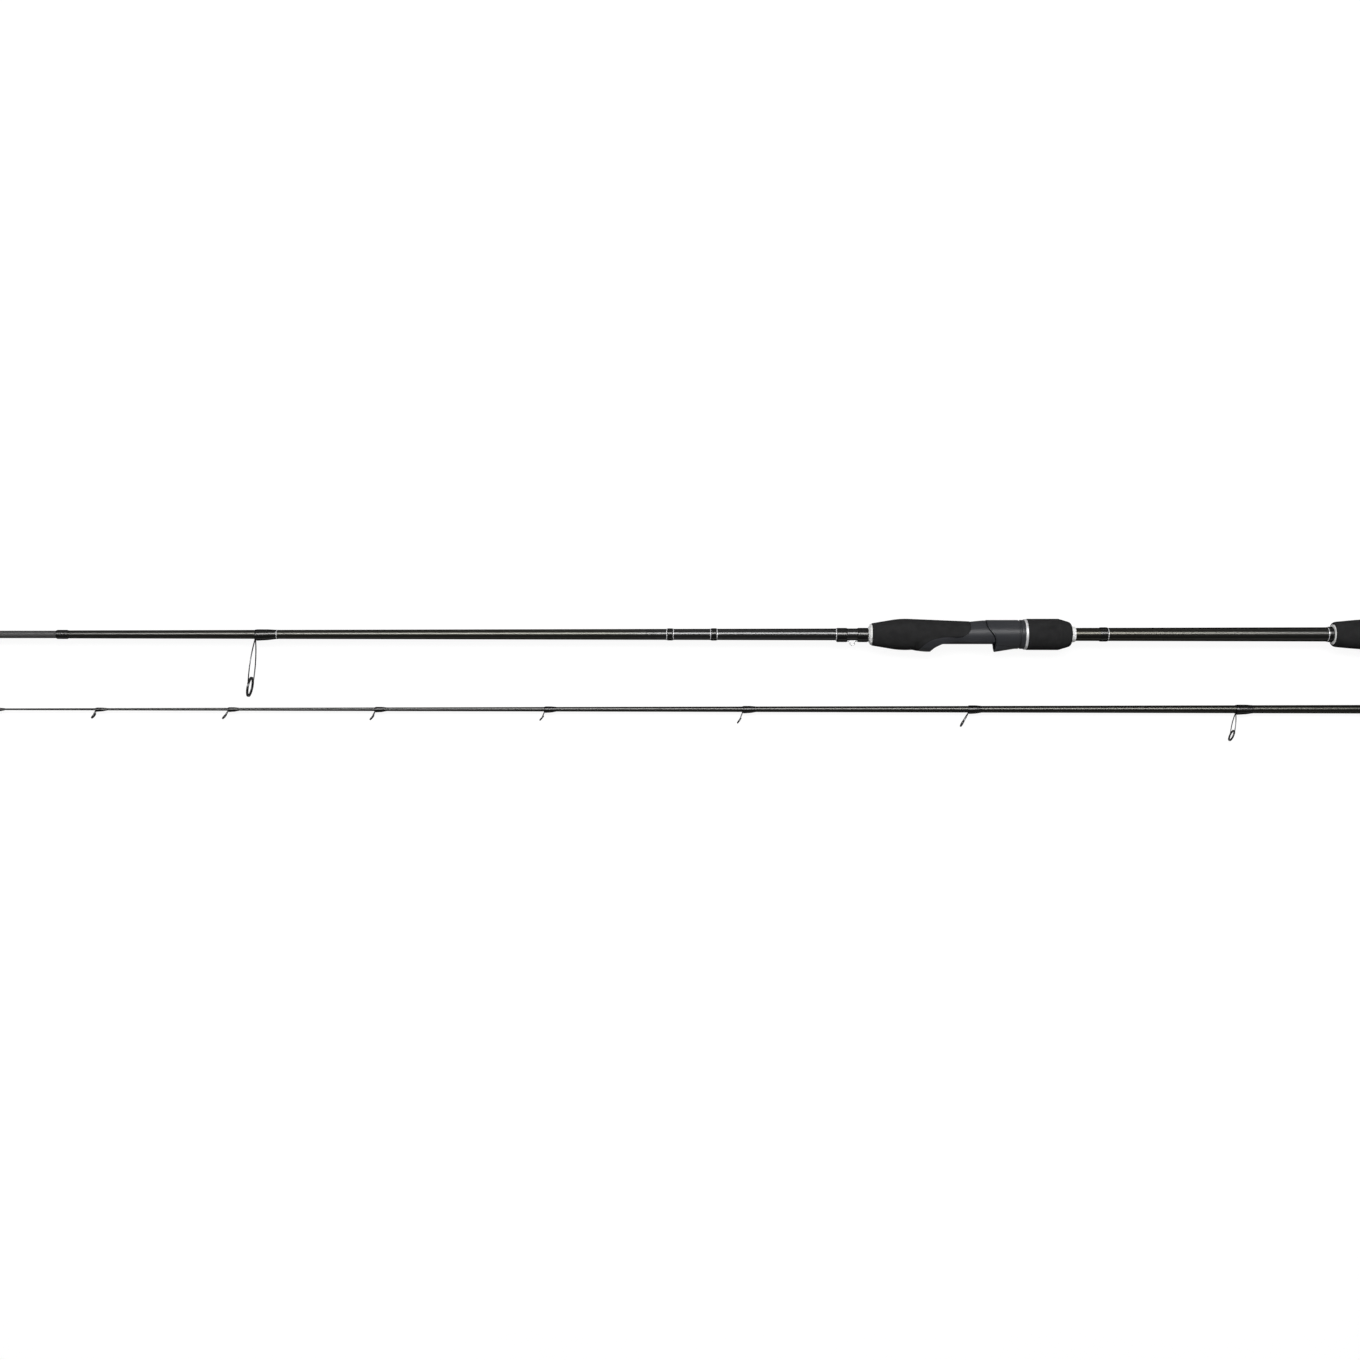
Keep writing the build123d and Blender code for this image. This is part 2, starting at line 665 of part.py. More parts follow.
def saddle_side(gap):
    """The seat body's side view: above the mouth and the saddle's rim, a gap before the sliding hood."""
    lip = (FRONT_LIP_AT, -FRONT_LIP_DROP)
    foot = FRONT_LIP_AT - FRONT_MOUTH_SLOPE * (REACH - FRONT_LIP_DROP)
    rim_end = (HOOD_START + HOOD_SLANT, -SADDLE_RIM_REAR)
    mouth = [(x, -drop) for x, drop in FRONT_MOUTH]
    rim = Spline(lip, *mouth, rim_end, tangents=[(FRONT_MOUTH_SLOPE, 1), (1, 0)])
    left = min(foot, BARREL_START) - WRAP_EDGE
    closing = Polyline(rim_end, (rim_end[0], REACH), (left, REACH), (left, -REACH), (foot, -REACH), lip)
    ahead = slab(*hood_front_edge(-gap), front_closing(-gap))
    return slab(rim, closing) & ahead


def front_closing(shift):
    """The outline that closes the side view in front of the sliding hood's edge."""
    x = HOOD_START + shift
    return Polyline((x + HOOD_SLANT, -REACH), (x - 2 * REACH, -REACH), (x - 2 * REACH, REACH), (x, REACH))


def rear_closing():
    """The outline that closes the side view behind the sliding hood's edge."""
    x = HOOD_START
    return Polyline((x + HOOD_SLANT, -REACH), (x + 2 * REACH, -REACH), (x + 2 * REACH, REACH), (x, REACH))


def saddle_outside():
    """The saddle's turned form round the barrel."""
    start, end = FRONT_LIP_AT - FRONT_POCKET_DEPTH, HOOD_START + HOOD_SLANT
    front, rear = SADDLE_FRONT_DIA / 2, SADDLE_REAR_DIA / 2
    top = Spline(
        (start, front),
        (GRIP_TAIL_AT, SADDLE_WAIST_DIA / 2),
        (HOOD_START - SADDLE_SWELL_BACK, rear),
        (end, rear),
        tangents=[(1, -0.04), (1, 0)],
    )
    return turned_curves(top, Polyline((end, rear), (end, 0), (start, 0), (start, front)))


def keyway():
    """The groove along the top of the barrel that stops the hood from turning."""
    width = KEY_WIDTH + 2 * SLIDE_CLEARANCE
    depth = KEY_DEPTH + SLIDE_CLEARANCE
    start = HOOD_START - SLIDE_CLEARANCE
    length = BARREL_END - start + SLIDE_CLEARANCE
    return Pos(start + length / 2, BARREL_RADIUS, 0) * Box(length, 2 * depth, width)


def reel_seat_body():
    """Barrel, saddle and fixed front hood, one moulding."""
    region = saddle_side(HOOD_GAP)
    saddle = (saddle_outside() & region) + (tongue() & saddle_side(SLIDE_CLEARANCE))
    body = barrel() + (saddle - foregrip_side()) + (front_cowl() & region)
    body -= front_pocket()
    bore, end = BARREL_BORE / 2, BARREL_END + SLIDE_CLEARANCE
    body -= turned((0, 0), (0, bore), (end, bore), (end, 0))
    return body - keyway()


def foregrip():
    """The foam grip over the front of the seat, with its tail on top of the saddle."""
    grip = foregrip_outside() & foregrip_side()
    return grip - barrel() - front_cowl() - blank_at_grip()


def seat_arbors():
    """Three bushings that centre the seat's barrel on the blank."""
    middles = (BARREL_START + ARBOR_LENGTH, (BARREL_START + BARREL_END) / 2, BARREL_END - ARBOR_LENGTH / 2)
    arbors = []
    for middle in middles:
        start = GRIP_STATION + middle - ARBOR_LENGTH / 2
        end = start + ARBOR_LENGTH
        outer = BARREL_BORE / 2
        ring = turned((start, BUTT.radius(start)), (start, outer), (end, outer), (end, BUTT.radius(end)))
        arbors.append(Pos(-GRIP_STATION, 0, 0) * ring)
    return arbors


def moving_hood():
    """The sliding rear hood: a keyed sleeve with a cowl that clamps the rear end of a reel foot."""
    outer = HOOD_DIA / 2
    sleeve_form = turned((HOOD_START, 0), (HOOD_START, outer), (HOOD_END, outer), (HOOD_END, 0))
    cowl = tilted_tube(REAR_LIP_AT, REAR_LIP_DROP, REAR_COWL_DIA, REAR_COWL_TILT, REACH)
    cowl &= below(-COWL_TOP, HOOD_START, HOOD_END)
    hood = (sleeve_form + cowl) & slab(*hood_front_edge(0), rear_closing())
    inner_dia = REAR_COWL_DIA - 2 * COWL_WALL
    pocket = tilted_tube(REAR_LIP_AT, REAR_LIP_DROP - COWL_WALL, inner_dia, REAR_COWL_TILT, REACH)
    pocket &= below(-POCKET_TOP, HOOD_START, REAR_LIP_AT + REAR_POCKET_DEPTH)
    spigot_bore = SPIGOT_DIA / 2 + SLIDE_CLEARANCE
    spigot_start = NECK_START - SPIGOT_LENGTH - SLIDE_CLEARANCE
    groove = spigot_bore + SNAP_BEAD
    groove_start = spigot_start + SNAP_WIDTH
    groove_end = groove_start + SNAP_WIDTH + 2 * SLIDE_CLEARANCE
    bore = turned(
        (HOOD_START, 0),
        (HOOD_START, SLIDE_BORE),
        (spigot_start, SLIDE_BORE),
        (spigot_start, spigot_bore),
        (groove_start, spigot_bore),
        (groove_start, groove),
        (groove_end, groove),
        (groove_end, spigot_bore),
        (HOOD_END, spigot_bore),
        (HOOD_END, 0),
    )
    key_length = spigot_start - HOOD_START
    key_height = 2 * (KEY_DEPTH + SLIDE_CLEARANCE)
    key = Pos(HOOD_START + key_length / 2, SLIDE_BORE, 0) * Box(key_length, key_height, KEY_WIDTH)
    return (hood - pocket - bore) + (key & sleeve_form)


def lock_nut():
    """The nut's core: a spigot that snaps into the hood, a collar, and a sleeve round the barrel."""
    spigot = SPIGOT_DIA / 2
    start = NECK_START - SPIGOT_LENGTH
    bead = start + SNAP_WIDTH
    return turned(
        (start, SLIDE_BORE),
        (start, spigot),
        (bead, spigot),
        (bead, spigot + SNAP_BEAD),
        (bead + SNAP_WIDTH, spigot + SNAP_BEAD),
        (bead + SNAP_WIDTH, spigot),
        (NECK_START, spigot),
        (NECK_START, NECK_DIA / 2),
        (COLLAR_START, NECK_DIA / 2),
        (COLLAR_START, COLLAR_DIA / 2),
        (NUT_RING_START, COLLAR_DIA / 2),
        (NUT_RING_START, NUT_CORE_DIA / 2),
        (NUT_CORE_END, NUT_CORE_DIA / 2),
        (NUT_CORE_END, SLIDE_BORE),
    )


def nut_trim_ring():
    """The silver ring between the nut's collar and its grip."""
    inner, outer = NUT_CORE_DIA / 2, NUT_RING_DIA / 2
    return turned(
        (NUT_RING_START, inner),
        (NUT_RING_START, outer),
        (NUT_GRIP_START, outer),
        (NUT_GRIP_START, inner),
    )


def nut_grip():
    """The foam grip on the nut, tapering to a rounded tail."""
    straight_end = NUT_GRIP_START + NUT_GRIP_STRAIGHT
    round_start = NUT_GRIP_END - NUT_TAIL_ROUND
    tail = NUT_TAIL_DIA / 2
    inner = NUT_CORE_DIA / 2
    flange = NUT_END_FLANGE_DIA / 2
    outer = NUT_GRIP_DIA / 2
    taper = (round_start - straight_end, tail - outer)
    top = Polyline(
        (NUT_GRIP_START, inner),
        (NUT_GRIP_START, outer),
        (straight_end, outer),
        (round_start, tail),
    )
    corner = Spline((round_start, tail), (NUT_GRIP_END, flange), tangents=[taper, (0, -1)])
    bottom = Polyline(
        (NUT_GRIP_END, flange),
        (NUT_CORE_END, flange),
        (NUT_CORE_END, inner),
        (NUT_GRIP_START, inner),
    )
    return turned_curves(top, corner, bottom)


def nut_end_ring():
    """The white ring that closes the nut's tail round the blank."""
    bore = NUT_END_BORE / 2
    return turned(
        (NUT_CORE_END, bore),
        (NUT_CORE_END, NUT_END_FLANGE_DIA / 2),
        (NUT_GRIP_END, NUT_END_FLANGE_DIA / 2),
        (NUT_GRIP_END, NUT_END_DIA / 2),
        (NUT_END, bore + NUT_END_WALL),
        (NUT_END, bore),
    )


def butt_winding_check():
    """The white washer let into the front of the butt grip."""
    start, end = BUTT_CHECK_STATION, BUTT_CHECK_END
    outer = BUTT_CHECK_DIA / 2
    return turned(
        (start, BUTT.radius(start)),
        (start, outer - BUTT_CHECK_PROUD),
        (BUTT_GRIP_STATION, outer),
        (end, outer),
        (end, BUTT.radius(end)),
    )


def butt_grip():
    """The foam grip at the end of the rod: a round shoulder, a swell and a waist before the cap."""
    start, end = BUTT_GRIP_STATION, CAP_STATION
    front, last = (start, BUTT_GRIP_FRONT_DIA / 2), (end, BUTT_CAP_DIA / 2)
    shoulder = (start + BUTT_GRIP_SHOULDER_AT, BUTT_GRIP_SHOULDER_DIA / 2)
    edge = Spline(front, shoulder, tangents=[(0.3, 1), (1, 0.1)])
    top = Spline(
        shoulder,
        (start + BUTT_GRIP_SWELL_AT, BUTT_GRIP_SWELL_DIA / 2),
        (start + BUTT_GRIP_WAIST_AT, BUTT_GRIP_WAIST_DIA / 2),
        last,
        tangents=[(1, 0.1), (1, 0.03)],
    )
    recess = BUTT_CHECK_DIA / 2
    rest = Polyline(
        last,
        (end, BUTT.radius(end)),
        (BUTT_CHECK_END, BUTT.radius(BUTT_CHECK_END)),
        (BUTT_CHECK_END, recess),
        (start, recess),
        front,
    )
    return turned_curves(edge, top, rest)


def butt_cap():
    """The rubber cap over the end of the blank, with a plug in its bore."""
    outer = BUTT_CAP_DIA / 2
    plug_start = BUTT_BLANK_END - BUTT_PLUG_LENGTH
    outline = Polyline(
        (CAP_STATION, BUTT.radius(CAP_STATION)),
        (CAP_STATION, outer),
        (BUTT_LENGTH - BUTT_CAP_ROUND, outer),
    )
    corner = RadiusArc(
        (BUTT_LENGTH - BUTT_CAP_ROUND, outer), (BUTT_LENGTH, outer - BUTT_CAP_ROUND), BUTT_CAP_ROUND
    )
    inside = Polyline(
        (BUTT_LENGTH, outer - BUTT_CAP_ROUND),
        (BUTT_LENGTH, 0),
        (plug_start, 0),
        (plug_start, BUTT_BORE.radius(plug_start) - BUTT_PLUG_CLEARANCE),
        (BUTT_BLANK_END, BUTT_BORE.radius(BUTT_BLANK_END) - BUTT_PLUG_CLEARANCE),
        (BUTT_BLANK_END, BUTT.radius(BUTT_BLANK_END)),
        (CAP_STATION, BUTT.radius(CAP_STATION)),
    )
    return turned_curves(outline, corner, inside)


def butt_section():
    """Every piece of the butt section, about its own axis."""
    seat = Pos(GRIP_STATION, 0, 0)
    accent_end = ACCENT_STATION + ACCENT_LENGTH
    frame, ring, wrap = guide_pieces(BUTT, STRIPPER)
    keeper = hook_keeper()
    return {
        "butt_blank": butt_blank(),
        "butt_ferrule_wrap": sleeve(BUTT, 0, FERRULE_WRAP_LENGTH, WRAP_BUILD, WRAP_EDGE),
        "stripper_guide_frame": frame,
        "stripper_guide_ring": ring,
        "stripper_guide_wrap": wrap,
        "label_band_wraps": label_band_wraps(),
        "silver_trim_bands": silver_trim_bands(),
        "hook_keeper": keeper,
        "keeper_wraps": keeper_wraps(keeper),
        "front_winding_check": front_winding_check(),
        "foregrip": seat * foregrip(),
        "reel_seat_body": seat * reel_seat_body(),
        "seat_arbors": [seat * arbor for arbor in seat_arbors()],
        "moving_hood": seat * moving_hood(),
        "lock_nut": seat * lock_nut(),
        "nut_trim_ring": seat * nut_trim_ring(),
        "nut_grip": seat * nut_grip(),
        "nut_end_ring": seat * nut_end_ring(),
        "rear_accent_wrap": sleeve(BUTT, ACCENT_STATION, accent_end, WRAP_BUILD, WRAP_EDGE),
        "butt_accent_wrap": sleeve(BUTT, BUTT_ACCENT_STATION, BUTT_CHECK_STATION, WRAP_BUILD, WRAP_EDGE),
        "butt_winding_check": butt_winding_check(),
        "butt_grip": butt_grip(),
        "butt_cap": butt_cap(),
    }


def tip_section():
    """Every piece of the tip section, about its own axis."""
    pieces = {
        "tip_blank": tip_blank(),
        "tip_ferrule_wrap": sleeve(TIP, -SOCKET_WRAP_LENGTH, 0, WRAP_BUILD, WRAP_EDGE),
    }
    for guide in TIP_GUIDES:
        frame, ring, wrap = guide_pieces(TIP, guide)
        pieces[guide.name + "_frame"] = frame
        pieces[guide.name + "_ring"] = ring
        pieces[guide.name + "_wrap"] = wrap
    frame, ring, wrap = tip_top_pieces()
    pieces["tip_top_frame"] = frame
    pieces["tip_top_ring"] = ring
    pieces["tip_top_wrap"] = wrap
    return pieces


def as_one(shape):
    """A piece, or the separate solids of a group, as one compound."""
    return Compound([part.solid() for part in shape]) if isinstance(shape, list) else shape


def axis_height(section):
    """How far a section's axis lies above the surface that its lowest piece touches."""
    return -min(shape.bounding_box().min.Z for shape in section.values())


def main():
    """Lay the two sections side by side on the surface and write every piece."""
    butt = {name: as_one(shape) for name, shape in butt_section().items()}
    tip = {name: as_one(shape) for name, shape in tip_section().items()}
    butt_place = Pos(0, 0, axis_height(butt))
    tip_place = Pos(BUTT_LENGTH - TIP_SETBACK, -AXIS_SPACING, axis_height(tip))
    pieces = {name: butt_place * shape for name, shape in butt.items()}
    pieces.update({name: tip_place * shape for name, shape in tip.items()})
    boxes = [shape.bounding_box() for shape in pieces.values()]
    low = Vector(min(b.min.X for b in boxes), min(b.min.Y for b in boxes), min(b.min.Z for b in boxes))
    high = Vector(max(b.max.X for b in boxes), max(b.max.Y for b in boxes), max(b.max.Z for b in boxes))
    middle = Vector((low.X + high.X) / 2, (low.Y + high.Y) / 2, low.Z)
    os.makedirs("parts", exist_ok=True)
    for name, shape in pieces.items():
        export_step(Pos(-middle) * shape, f"parts/{name}.step")
    print("size", high - low)
    print("ferrule shoulder", butt_place.position - middle)
    print("socket mouth", tip_place.position - middle)


main()
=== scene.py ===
"""A two-piece spinning rod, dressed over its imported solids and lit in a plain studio."""

import logging
import math
from dataclasses import dataclass, field
from enum import Enum
from typing import ClassVar

import bmesh
import bpy
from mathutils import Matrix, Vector


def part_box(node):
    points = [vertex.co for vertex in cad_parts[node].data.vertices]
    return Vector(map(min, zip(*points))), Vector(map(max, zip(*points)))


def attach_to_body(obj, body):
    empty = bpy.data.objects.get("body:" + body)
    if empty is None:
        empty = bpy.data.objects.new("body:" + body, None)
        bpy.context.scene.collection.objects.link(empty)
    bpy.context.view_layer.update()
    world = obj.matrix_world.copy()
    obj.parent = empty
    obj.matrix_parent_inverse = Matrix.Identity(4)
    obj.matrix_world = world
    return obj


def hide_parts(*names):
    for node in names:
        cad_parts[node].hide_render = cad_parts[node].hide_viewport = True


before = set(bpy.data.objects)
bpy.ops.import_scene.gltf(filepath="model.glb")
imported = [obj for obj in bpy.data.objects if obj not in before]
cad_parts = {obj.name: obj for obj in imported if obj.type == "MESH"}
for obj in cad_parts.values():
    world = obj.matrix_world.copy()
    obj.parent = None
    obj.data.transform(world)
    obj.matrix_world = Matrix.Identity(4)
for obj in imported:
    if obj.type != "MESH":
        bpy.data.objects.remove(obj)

LOG = logging.getLogger("rod")
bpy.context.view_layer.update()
MM = 0.001
MERGE = 0.001 * MM

Colour = tuple[float, float, float]
Triple = tuple[float, float, float]
Socket = bpy.types.NodeSocket

BLACK: Colour = (0.0, 0.0, 0.0)
WHITE: Colour = (1.0, 1.0, 1.0)
SILVER: Colour = (0.84, 0.84, 0.85)
DULL_SILVER: Colour = (0.74, 0.74, 0.75)


class Body(Enum):
    """The bodies that new pieces ride on."""

    BUTT = "butt_section"
    NUT = "lock_nut"


class Slot(Enum):
    """Names of the record's material slots, passed along with new pieces."""

    FOAM = "foam"
    SILVER = "silver_trim"
    SEAT = "seat_plastic"


class Graph:
    """A material's node tree, with short calls that add and join its nodes."""

    WAVE_RATE: ClassVar[float] = 10.0
    EDGE_SAMPLES: ClassVar[int] = 6
    MIX_FIRST: ClassVar[int] = 6
    MIX_SECOND: ClassVar[int] = 7
    MIX_RESULT: ClassVar[int] = 2

    def __init__(self, name: str) -> None:
        """Start a tree that holds a shader and its output.

        Args:
            name: The material's name.
        """
        self.material = bpy.data.materials.new(name)
        self.material.use_nodes = True
        self.tree = self.material.node_tree
        self.tree.nodes.clear()
        self.shader = self.add("ShaderNodeBsdfPrincipled")
        output = self.add("ShaderNodeOutputMaterial")
        self.join(self.shader.outputs["BSDF"], output.inputs["Surface"])
        self.place = self.add("ShaderNodeTexCoord").outputs["Object"]

    def add(self, kind: str, **values: object) -> bpy.types.Node:
        """Add a node.

        Args:
            kind: The node's type name.
            values: Input sockets to set, by name with spaces as underscores.

        Returns:
            The new node.
        """
        node = self.tree.nodes.new(kind)
        for name, value in values.items():
            node.inputs[name.replace("_", " ")].default_value = value
        return node

    def join(self, source: Socket, target: Socket) -> None:
        """Link an output to an input."""
        self.tree.links.new(source, target)

    def constant(self, **values: object) -> None:
        """Set numbers and colours on the shader's own sockets, by name with spaces as underscores."""
        for name, value in values.items():
            self.shader.inputs[name.replace("_", " ")].default_value = value

    def stretched(self, scale: Triple) -> Socket:
        """The place on the object, scaled axis by axis.

        Args:
            scale: Factor along each axis.

        Returns:
            The vector output.
        """
        mapping = self.add("ShaderNodeMapping", Scale=scale)
        self.join(self.place, mapping.inputs["Vector"])
        return mapping.outputs["Vector"]

    def noise(self, vector: Socket, scale: float, detail: float = 3.0) -> Socket:
        """A cloudy pattern.

        Args:
            vector: Where to read it.
            scale: How fine it is, per metre.
            detail: How many finer layers it has.

        Returns:
            Its value, from 0 to 1.
        """
        node = self.add("ShaderNodeTexNoise", Scale=scale, Detail=detail)
        self.join(vector, node.inputs["Vector"])
        return node.outputs[0]

    def cells(self, vector: Socket, scale: float) -> Socket:
        """A pattern of cells.

        Args:
            vector: Where to read it.
            scale: How many cells there are per metre.

        Returns:
            The distance from the nearest cell's middle.
        """
        node = self.add("ShaderNodeTexVoronoi", Scale=scale)
        self.join(vector, node.inputs["Vector"])
        return node.outputs["Distance"]

    def turns(self, pitch: float) -> Socket:
        """The rise and fall of thread turns along x.

        Args:
            pitch: Distance between turns, in metres.

        Returns:
            The height, from 0 to 1.
        """
        node = self.add("ShaderNodeTexWave", Scale=math.pi / (self.WAVE_RATE * pitch), Distortion=0.0)
        node.wave_type = "BANDS"
        node.bands_direction = "X"
        self.join(self.place, node.inputs["Vector"])
        return node.outputs[1]

    def ramp(self, factor: Socket, *stops: tuple[float, Colour]) -> Socket:
        """Colours along a factor.

        Args:
            factor: The value that picks the colour.
            stops: Positions and their colours, in order.

        Returns:
            The colour output.
        """
        node = self.add("ShaderNodeValToRGB")
        band = node.color_ramp
        while len(band.elements) < len(stops):
            band.elements.new(0.5)
        for element, (position, colour) in zip(band.elements, stops):
            element.position = position
            element.color = (*colour, 1.0)
        self.join(factor, node.inputs[0])
        return node.outputs[0]

    def span(self, factor: Socket, low: float, high: float) -> Socket:
        """A factor from 0 to 1, stretched to a range.

        Args:
            factor: The value to stretch.
            low: The value at 0.
            high: The value at 1.

        Returns:
            The stretched value.
        """
        node = self.add("ShaderNodeMapRange")
        node.inputs["To Min"].default_value = low
        node.inputs["To Max"].default_value = high
        self.join(factor, node.inputs["Value"])
        return node.outputs["Result"]

    def behind(self, station: float) -> Socket:
        """Tell the two sides of a station apart.

        Args:
            station: The place along x.

        Returns:
            1 where x lies behind the station, 0 in front of it.
        """
        parts = self.add("ShaderNodeSeparateXYZ")
        self.join(self.place, parts.inputs[0])
        test = self.add("ShaderNodeMath")
        test.operation = "GREATER_THAN"
        test.inputs[1].default_value = station
        self.join(parts.outputs["X"], test.inputs[0])
        return test.outputs[0]

    def along(self, start: float, end: float) -> Socket:
        """Measure the way between two stations.

        Args:
            start: The station where it begins.
            end: The station where it ends.

        Returns:
            How far x has come, from 0 to 1.
        """
        parts = self.add("ShaderNodeSeparateXYZ")
        self.join(self.place, parts.inputs[0])
        node = self.add("ShaderNodeMapRange")
        node.inputs["From Min"].default_value = start
        node.inputs["From Max"].default_value = end
        self.join(parts.outputs["X"], node.inputs["Value"])
        return node.outputs["Result"]

    def choose(
        self, factor: Socket, first: Socket, second: Socket
    ) -> Socket:
        """One colour where the factor is 0 and another where it is 1.

        Args:
            factor: The value that picks.
            first: The colour at 0.
            second: The colour at 1.

        Returns:
            The picked colour.
        """
        node = self.add("ShaderNodeMix")
        node.data_type = "RGBA"
        self.join(factor, node.inputs[0])
        self.join(first, node.inputs[self.MIX_FIRST])
        self.join(second, node.inputs[self.MIX_SECOND])
        return node.outputs[self.MIX_RESULT]

    def rounded(self, radius: float) -> Socket | None:
        """A normal that rounds sharp edges off.

        Args:
            radius: How far it rounds them, in metres.

        Returns:
            The normal output, or nothing where the radius is 0.
        """
        if not radius:
            return None
        node = self.add("ShaderNodeBevel", Radius=radius)
        node.samples = self.EDGE_SAMPLES
        return node.outputs["Normal"]

    def relief(
        self,
        height: Socket,
        depth: float,
        strength: float = 1.0,
        normal: Socket | None = None,
    ) -> Socket:
        """A bumpy normal.

        Args:
            height: The pattern's height, from 0 to 1.
            depth: The real height of the bumps, in metres.
            strength: How far they show.
            normal: The normal that they add to.

        Returns:
            The normal output.
        """
        node = self.add("ShaderNodeBump", Distance=depth, Strength=strength)
        self.join(height, node.inputs["Height"])
        if normal is not None:
            self.join(normal, node.inputs["Normal"])
        return node.outputs["Normal"]


@dataclass(frozen=True)
class PearlLacquer:
    """Dark pearl lacquer on a carbon tube, with a bare matte stretch before a shoulder."""

    name: str
    shoulder: float
    end: float
    tints: tuple[tuple[float, Colour], ...]
    bare: Colour = (0.085, 0.084, 0.084)
    depth: float = 0.86
    gloss: float = 0.28
    bare_roughness: float = 0.46
    bare_metallic: float = 0.5
    rim: float = 0.0
    sanding: float = 1.25
    speckle_scale: float = 4000.0
    fibre_scale: Triple = (6.0, 900.0, 900.0)
    fibre_height: float = 0.02 * MM
    fibre_strength: float = 0.05

    def tube(self, graph: Graph, fibres: Socket) -> Socket:
        """The lacquer's colour, deeper between the fibres.

        Args:
            graph: The material's tree.
            fibres: The pattern of the fibres.

        Returns:
            The colour output.
        """
        share = graph.along(self.shoulder, self.end)
        deepened = [(at, tuple(self.depth * value for value in tint)) for at, tint in self.tints]
        deep = graph.ramp(share, *deepened)
        light = graph.ramp(share, *self.tints)
        return graph.choose(graph.ramp(fibres, (0.3, BLACK), (0.7, WHITE)), deep, light)

    def material(self) -> bpy.types.Material:
        """Build the material.

        Returns:
            The finished material.
        """
        graph = Graph(self.name)
        fibres = graph.noise(graph.stretched(self.fibre_scale), scale=1.0, detail=5.0)
        speckle = graph.noise(graph.place, self.speckle_scale, detail=2.0)
        sanded = graph.ramp(speckle, (0.3, self.bare), (0.8, tuple(self.sanding * value for value in self.bare)))
        lacquered = graph.behind(self.shoulder)
        colour = graph.choose(lacquered, sanded, self.tube(graph, fibres))
        graph.join(colour, graph.shader.inputs["Base Color"])
        graph.join(graph.span(lacquered, self.bare_roughness, self.gloss), graph.shader.inputs["Roughness"])
        graph.join(graph.span(lacquered, self.bare_metallic, 1.0), graph.shader.inputs["Metallic"])
        graph.constant(Specular_Tint=(self.rim, self.rim, self.rim, 1.0))
        normal = graph.relief(fibres, self.fibre_height, self.fibre_strength)
        graph.join(normal, graph.shader.inputs["Normal"])
        return graph.material


@dataclass(frozen=True)
class BoundThread:
    """Dark winding thread with a sheen of its own, under a smooth glossy resin, with painted shade in the
    grooves between turns.
    """

    name: str
    # colour is painted shade in the grooves between turns, light the thread on the turns' crests.
    colour: Colour = (0.063, 0.0625, 0.0615)
    light: Colour = (0.092, 0.0915, 0.090)
    pitch: float = 0.22 * MM
    low: float = 0.21
    high: float = 0.28
    rim: float = 0.0
    fuzz_scale: float = 2500.0
    turn_height: float = 0.03 * MM
    turn_strength: float = 0.3

    def material(self) -> bpy.types.Material:
        """Build the material.

        Returns:
            The finished material.
        """
        graph = Graph(self.name)
        turns = graph.turns(self.pitch)
        # Darker in the grooves between turns and lighter on their crests: painted shade in the grooves.
        graph.join(graph.ramp(turns, (0.2, self.colour), (0.9, self.light)), graph.shader.inputs["Base Color"])
        fuzz = graph.noise(graph.place, self.fuzz_scale)
        graph.join(graph.span(fuzz, self.low, self.high), graph.shader.inputs["Roughness"])
        graph.constant(Metallic=1.0, Specular_Tint=(self.rim, self.rim, self.rim, 1.0))
        normal = graph.relief(turns, self.turn_height, self.turn_strength)
        graph.join(normal, graph.shader.inputs["Normal"])
        return graph.material


@dataclass(frozen=True)
class BrightMetal:
    """Polished or drawn metal, with faint scratches and dulled patches."""

    name: str
    colour: Colour
    dull: Colour
    low: float = 0.2
    high: float = 0.36
    edge: float = 0.1 * MM
    scratch: float = 0.2
    metallic: float = 1.0
    patch_scale: float = 420.0
    scratch_scale: Triple = (300.0, 5000.0, 5000.0)
    scratch_height: float = 0.01 * MM

    def material(self) -> bpy.types.Material:
        """Build the material.

        Returns:
            The finished material.
        """
        graph = Graph(self.name)
        patches = graph.noise(graph.place, self.patch_scale, detail=4.0)
        graph.join(graph.ramp(patches, (0.3, self.dull), (0.7, self.colour)), graph.shader.inputs["Base Color"])
        graph.join(graph.span(patches, self.high, self.low), graph.shader.inputs["Roughness"])
        graph.constant(Metallic=self.metallic)
        scratches = graph.noise(graph.stretched(self.scratch_scale), scale=1.0)
        normal = graph.relief(scratches, self.scratch_height, self.scratch, graph.rounded(self.edge))
        graph.join(normal, graph.shader.inputs["Normal"])
        return graph.material


@dataclass(frozen=True)
class DarkCeramic:
    """Polished dark ceramic."""

    name: str
    colour: Colour = (0.006, 0.006, 0.007)
    light: Colour = (0.014, 0.014, 0.015)
    low: float = 0.18
    high: float = 0.3
    ior: float = 1.5
    grain_scale: float = 1800.0

    def material(self) -> bpy.types.Material:
        """Build the material.

        Returns:
            The finished material.
        """
        graph = Graph(self.name)
        grain = graph.noise(graph.place, self.grain_scale, detail=4.0)
        graph.join(graph.ramp(grain, (0.3, self.colour), (0.8, self.light)), graph.shader.inputs["Base Color"])
        graph.join(graph.span(grain, self.low, self.high), graph.shader.inputs["Roughness"])
        graph.constant(IOR=self.ior)
        return graph.material


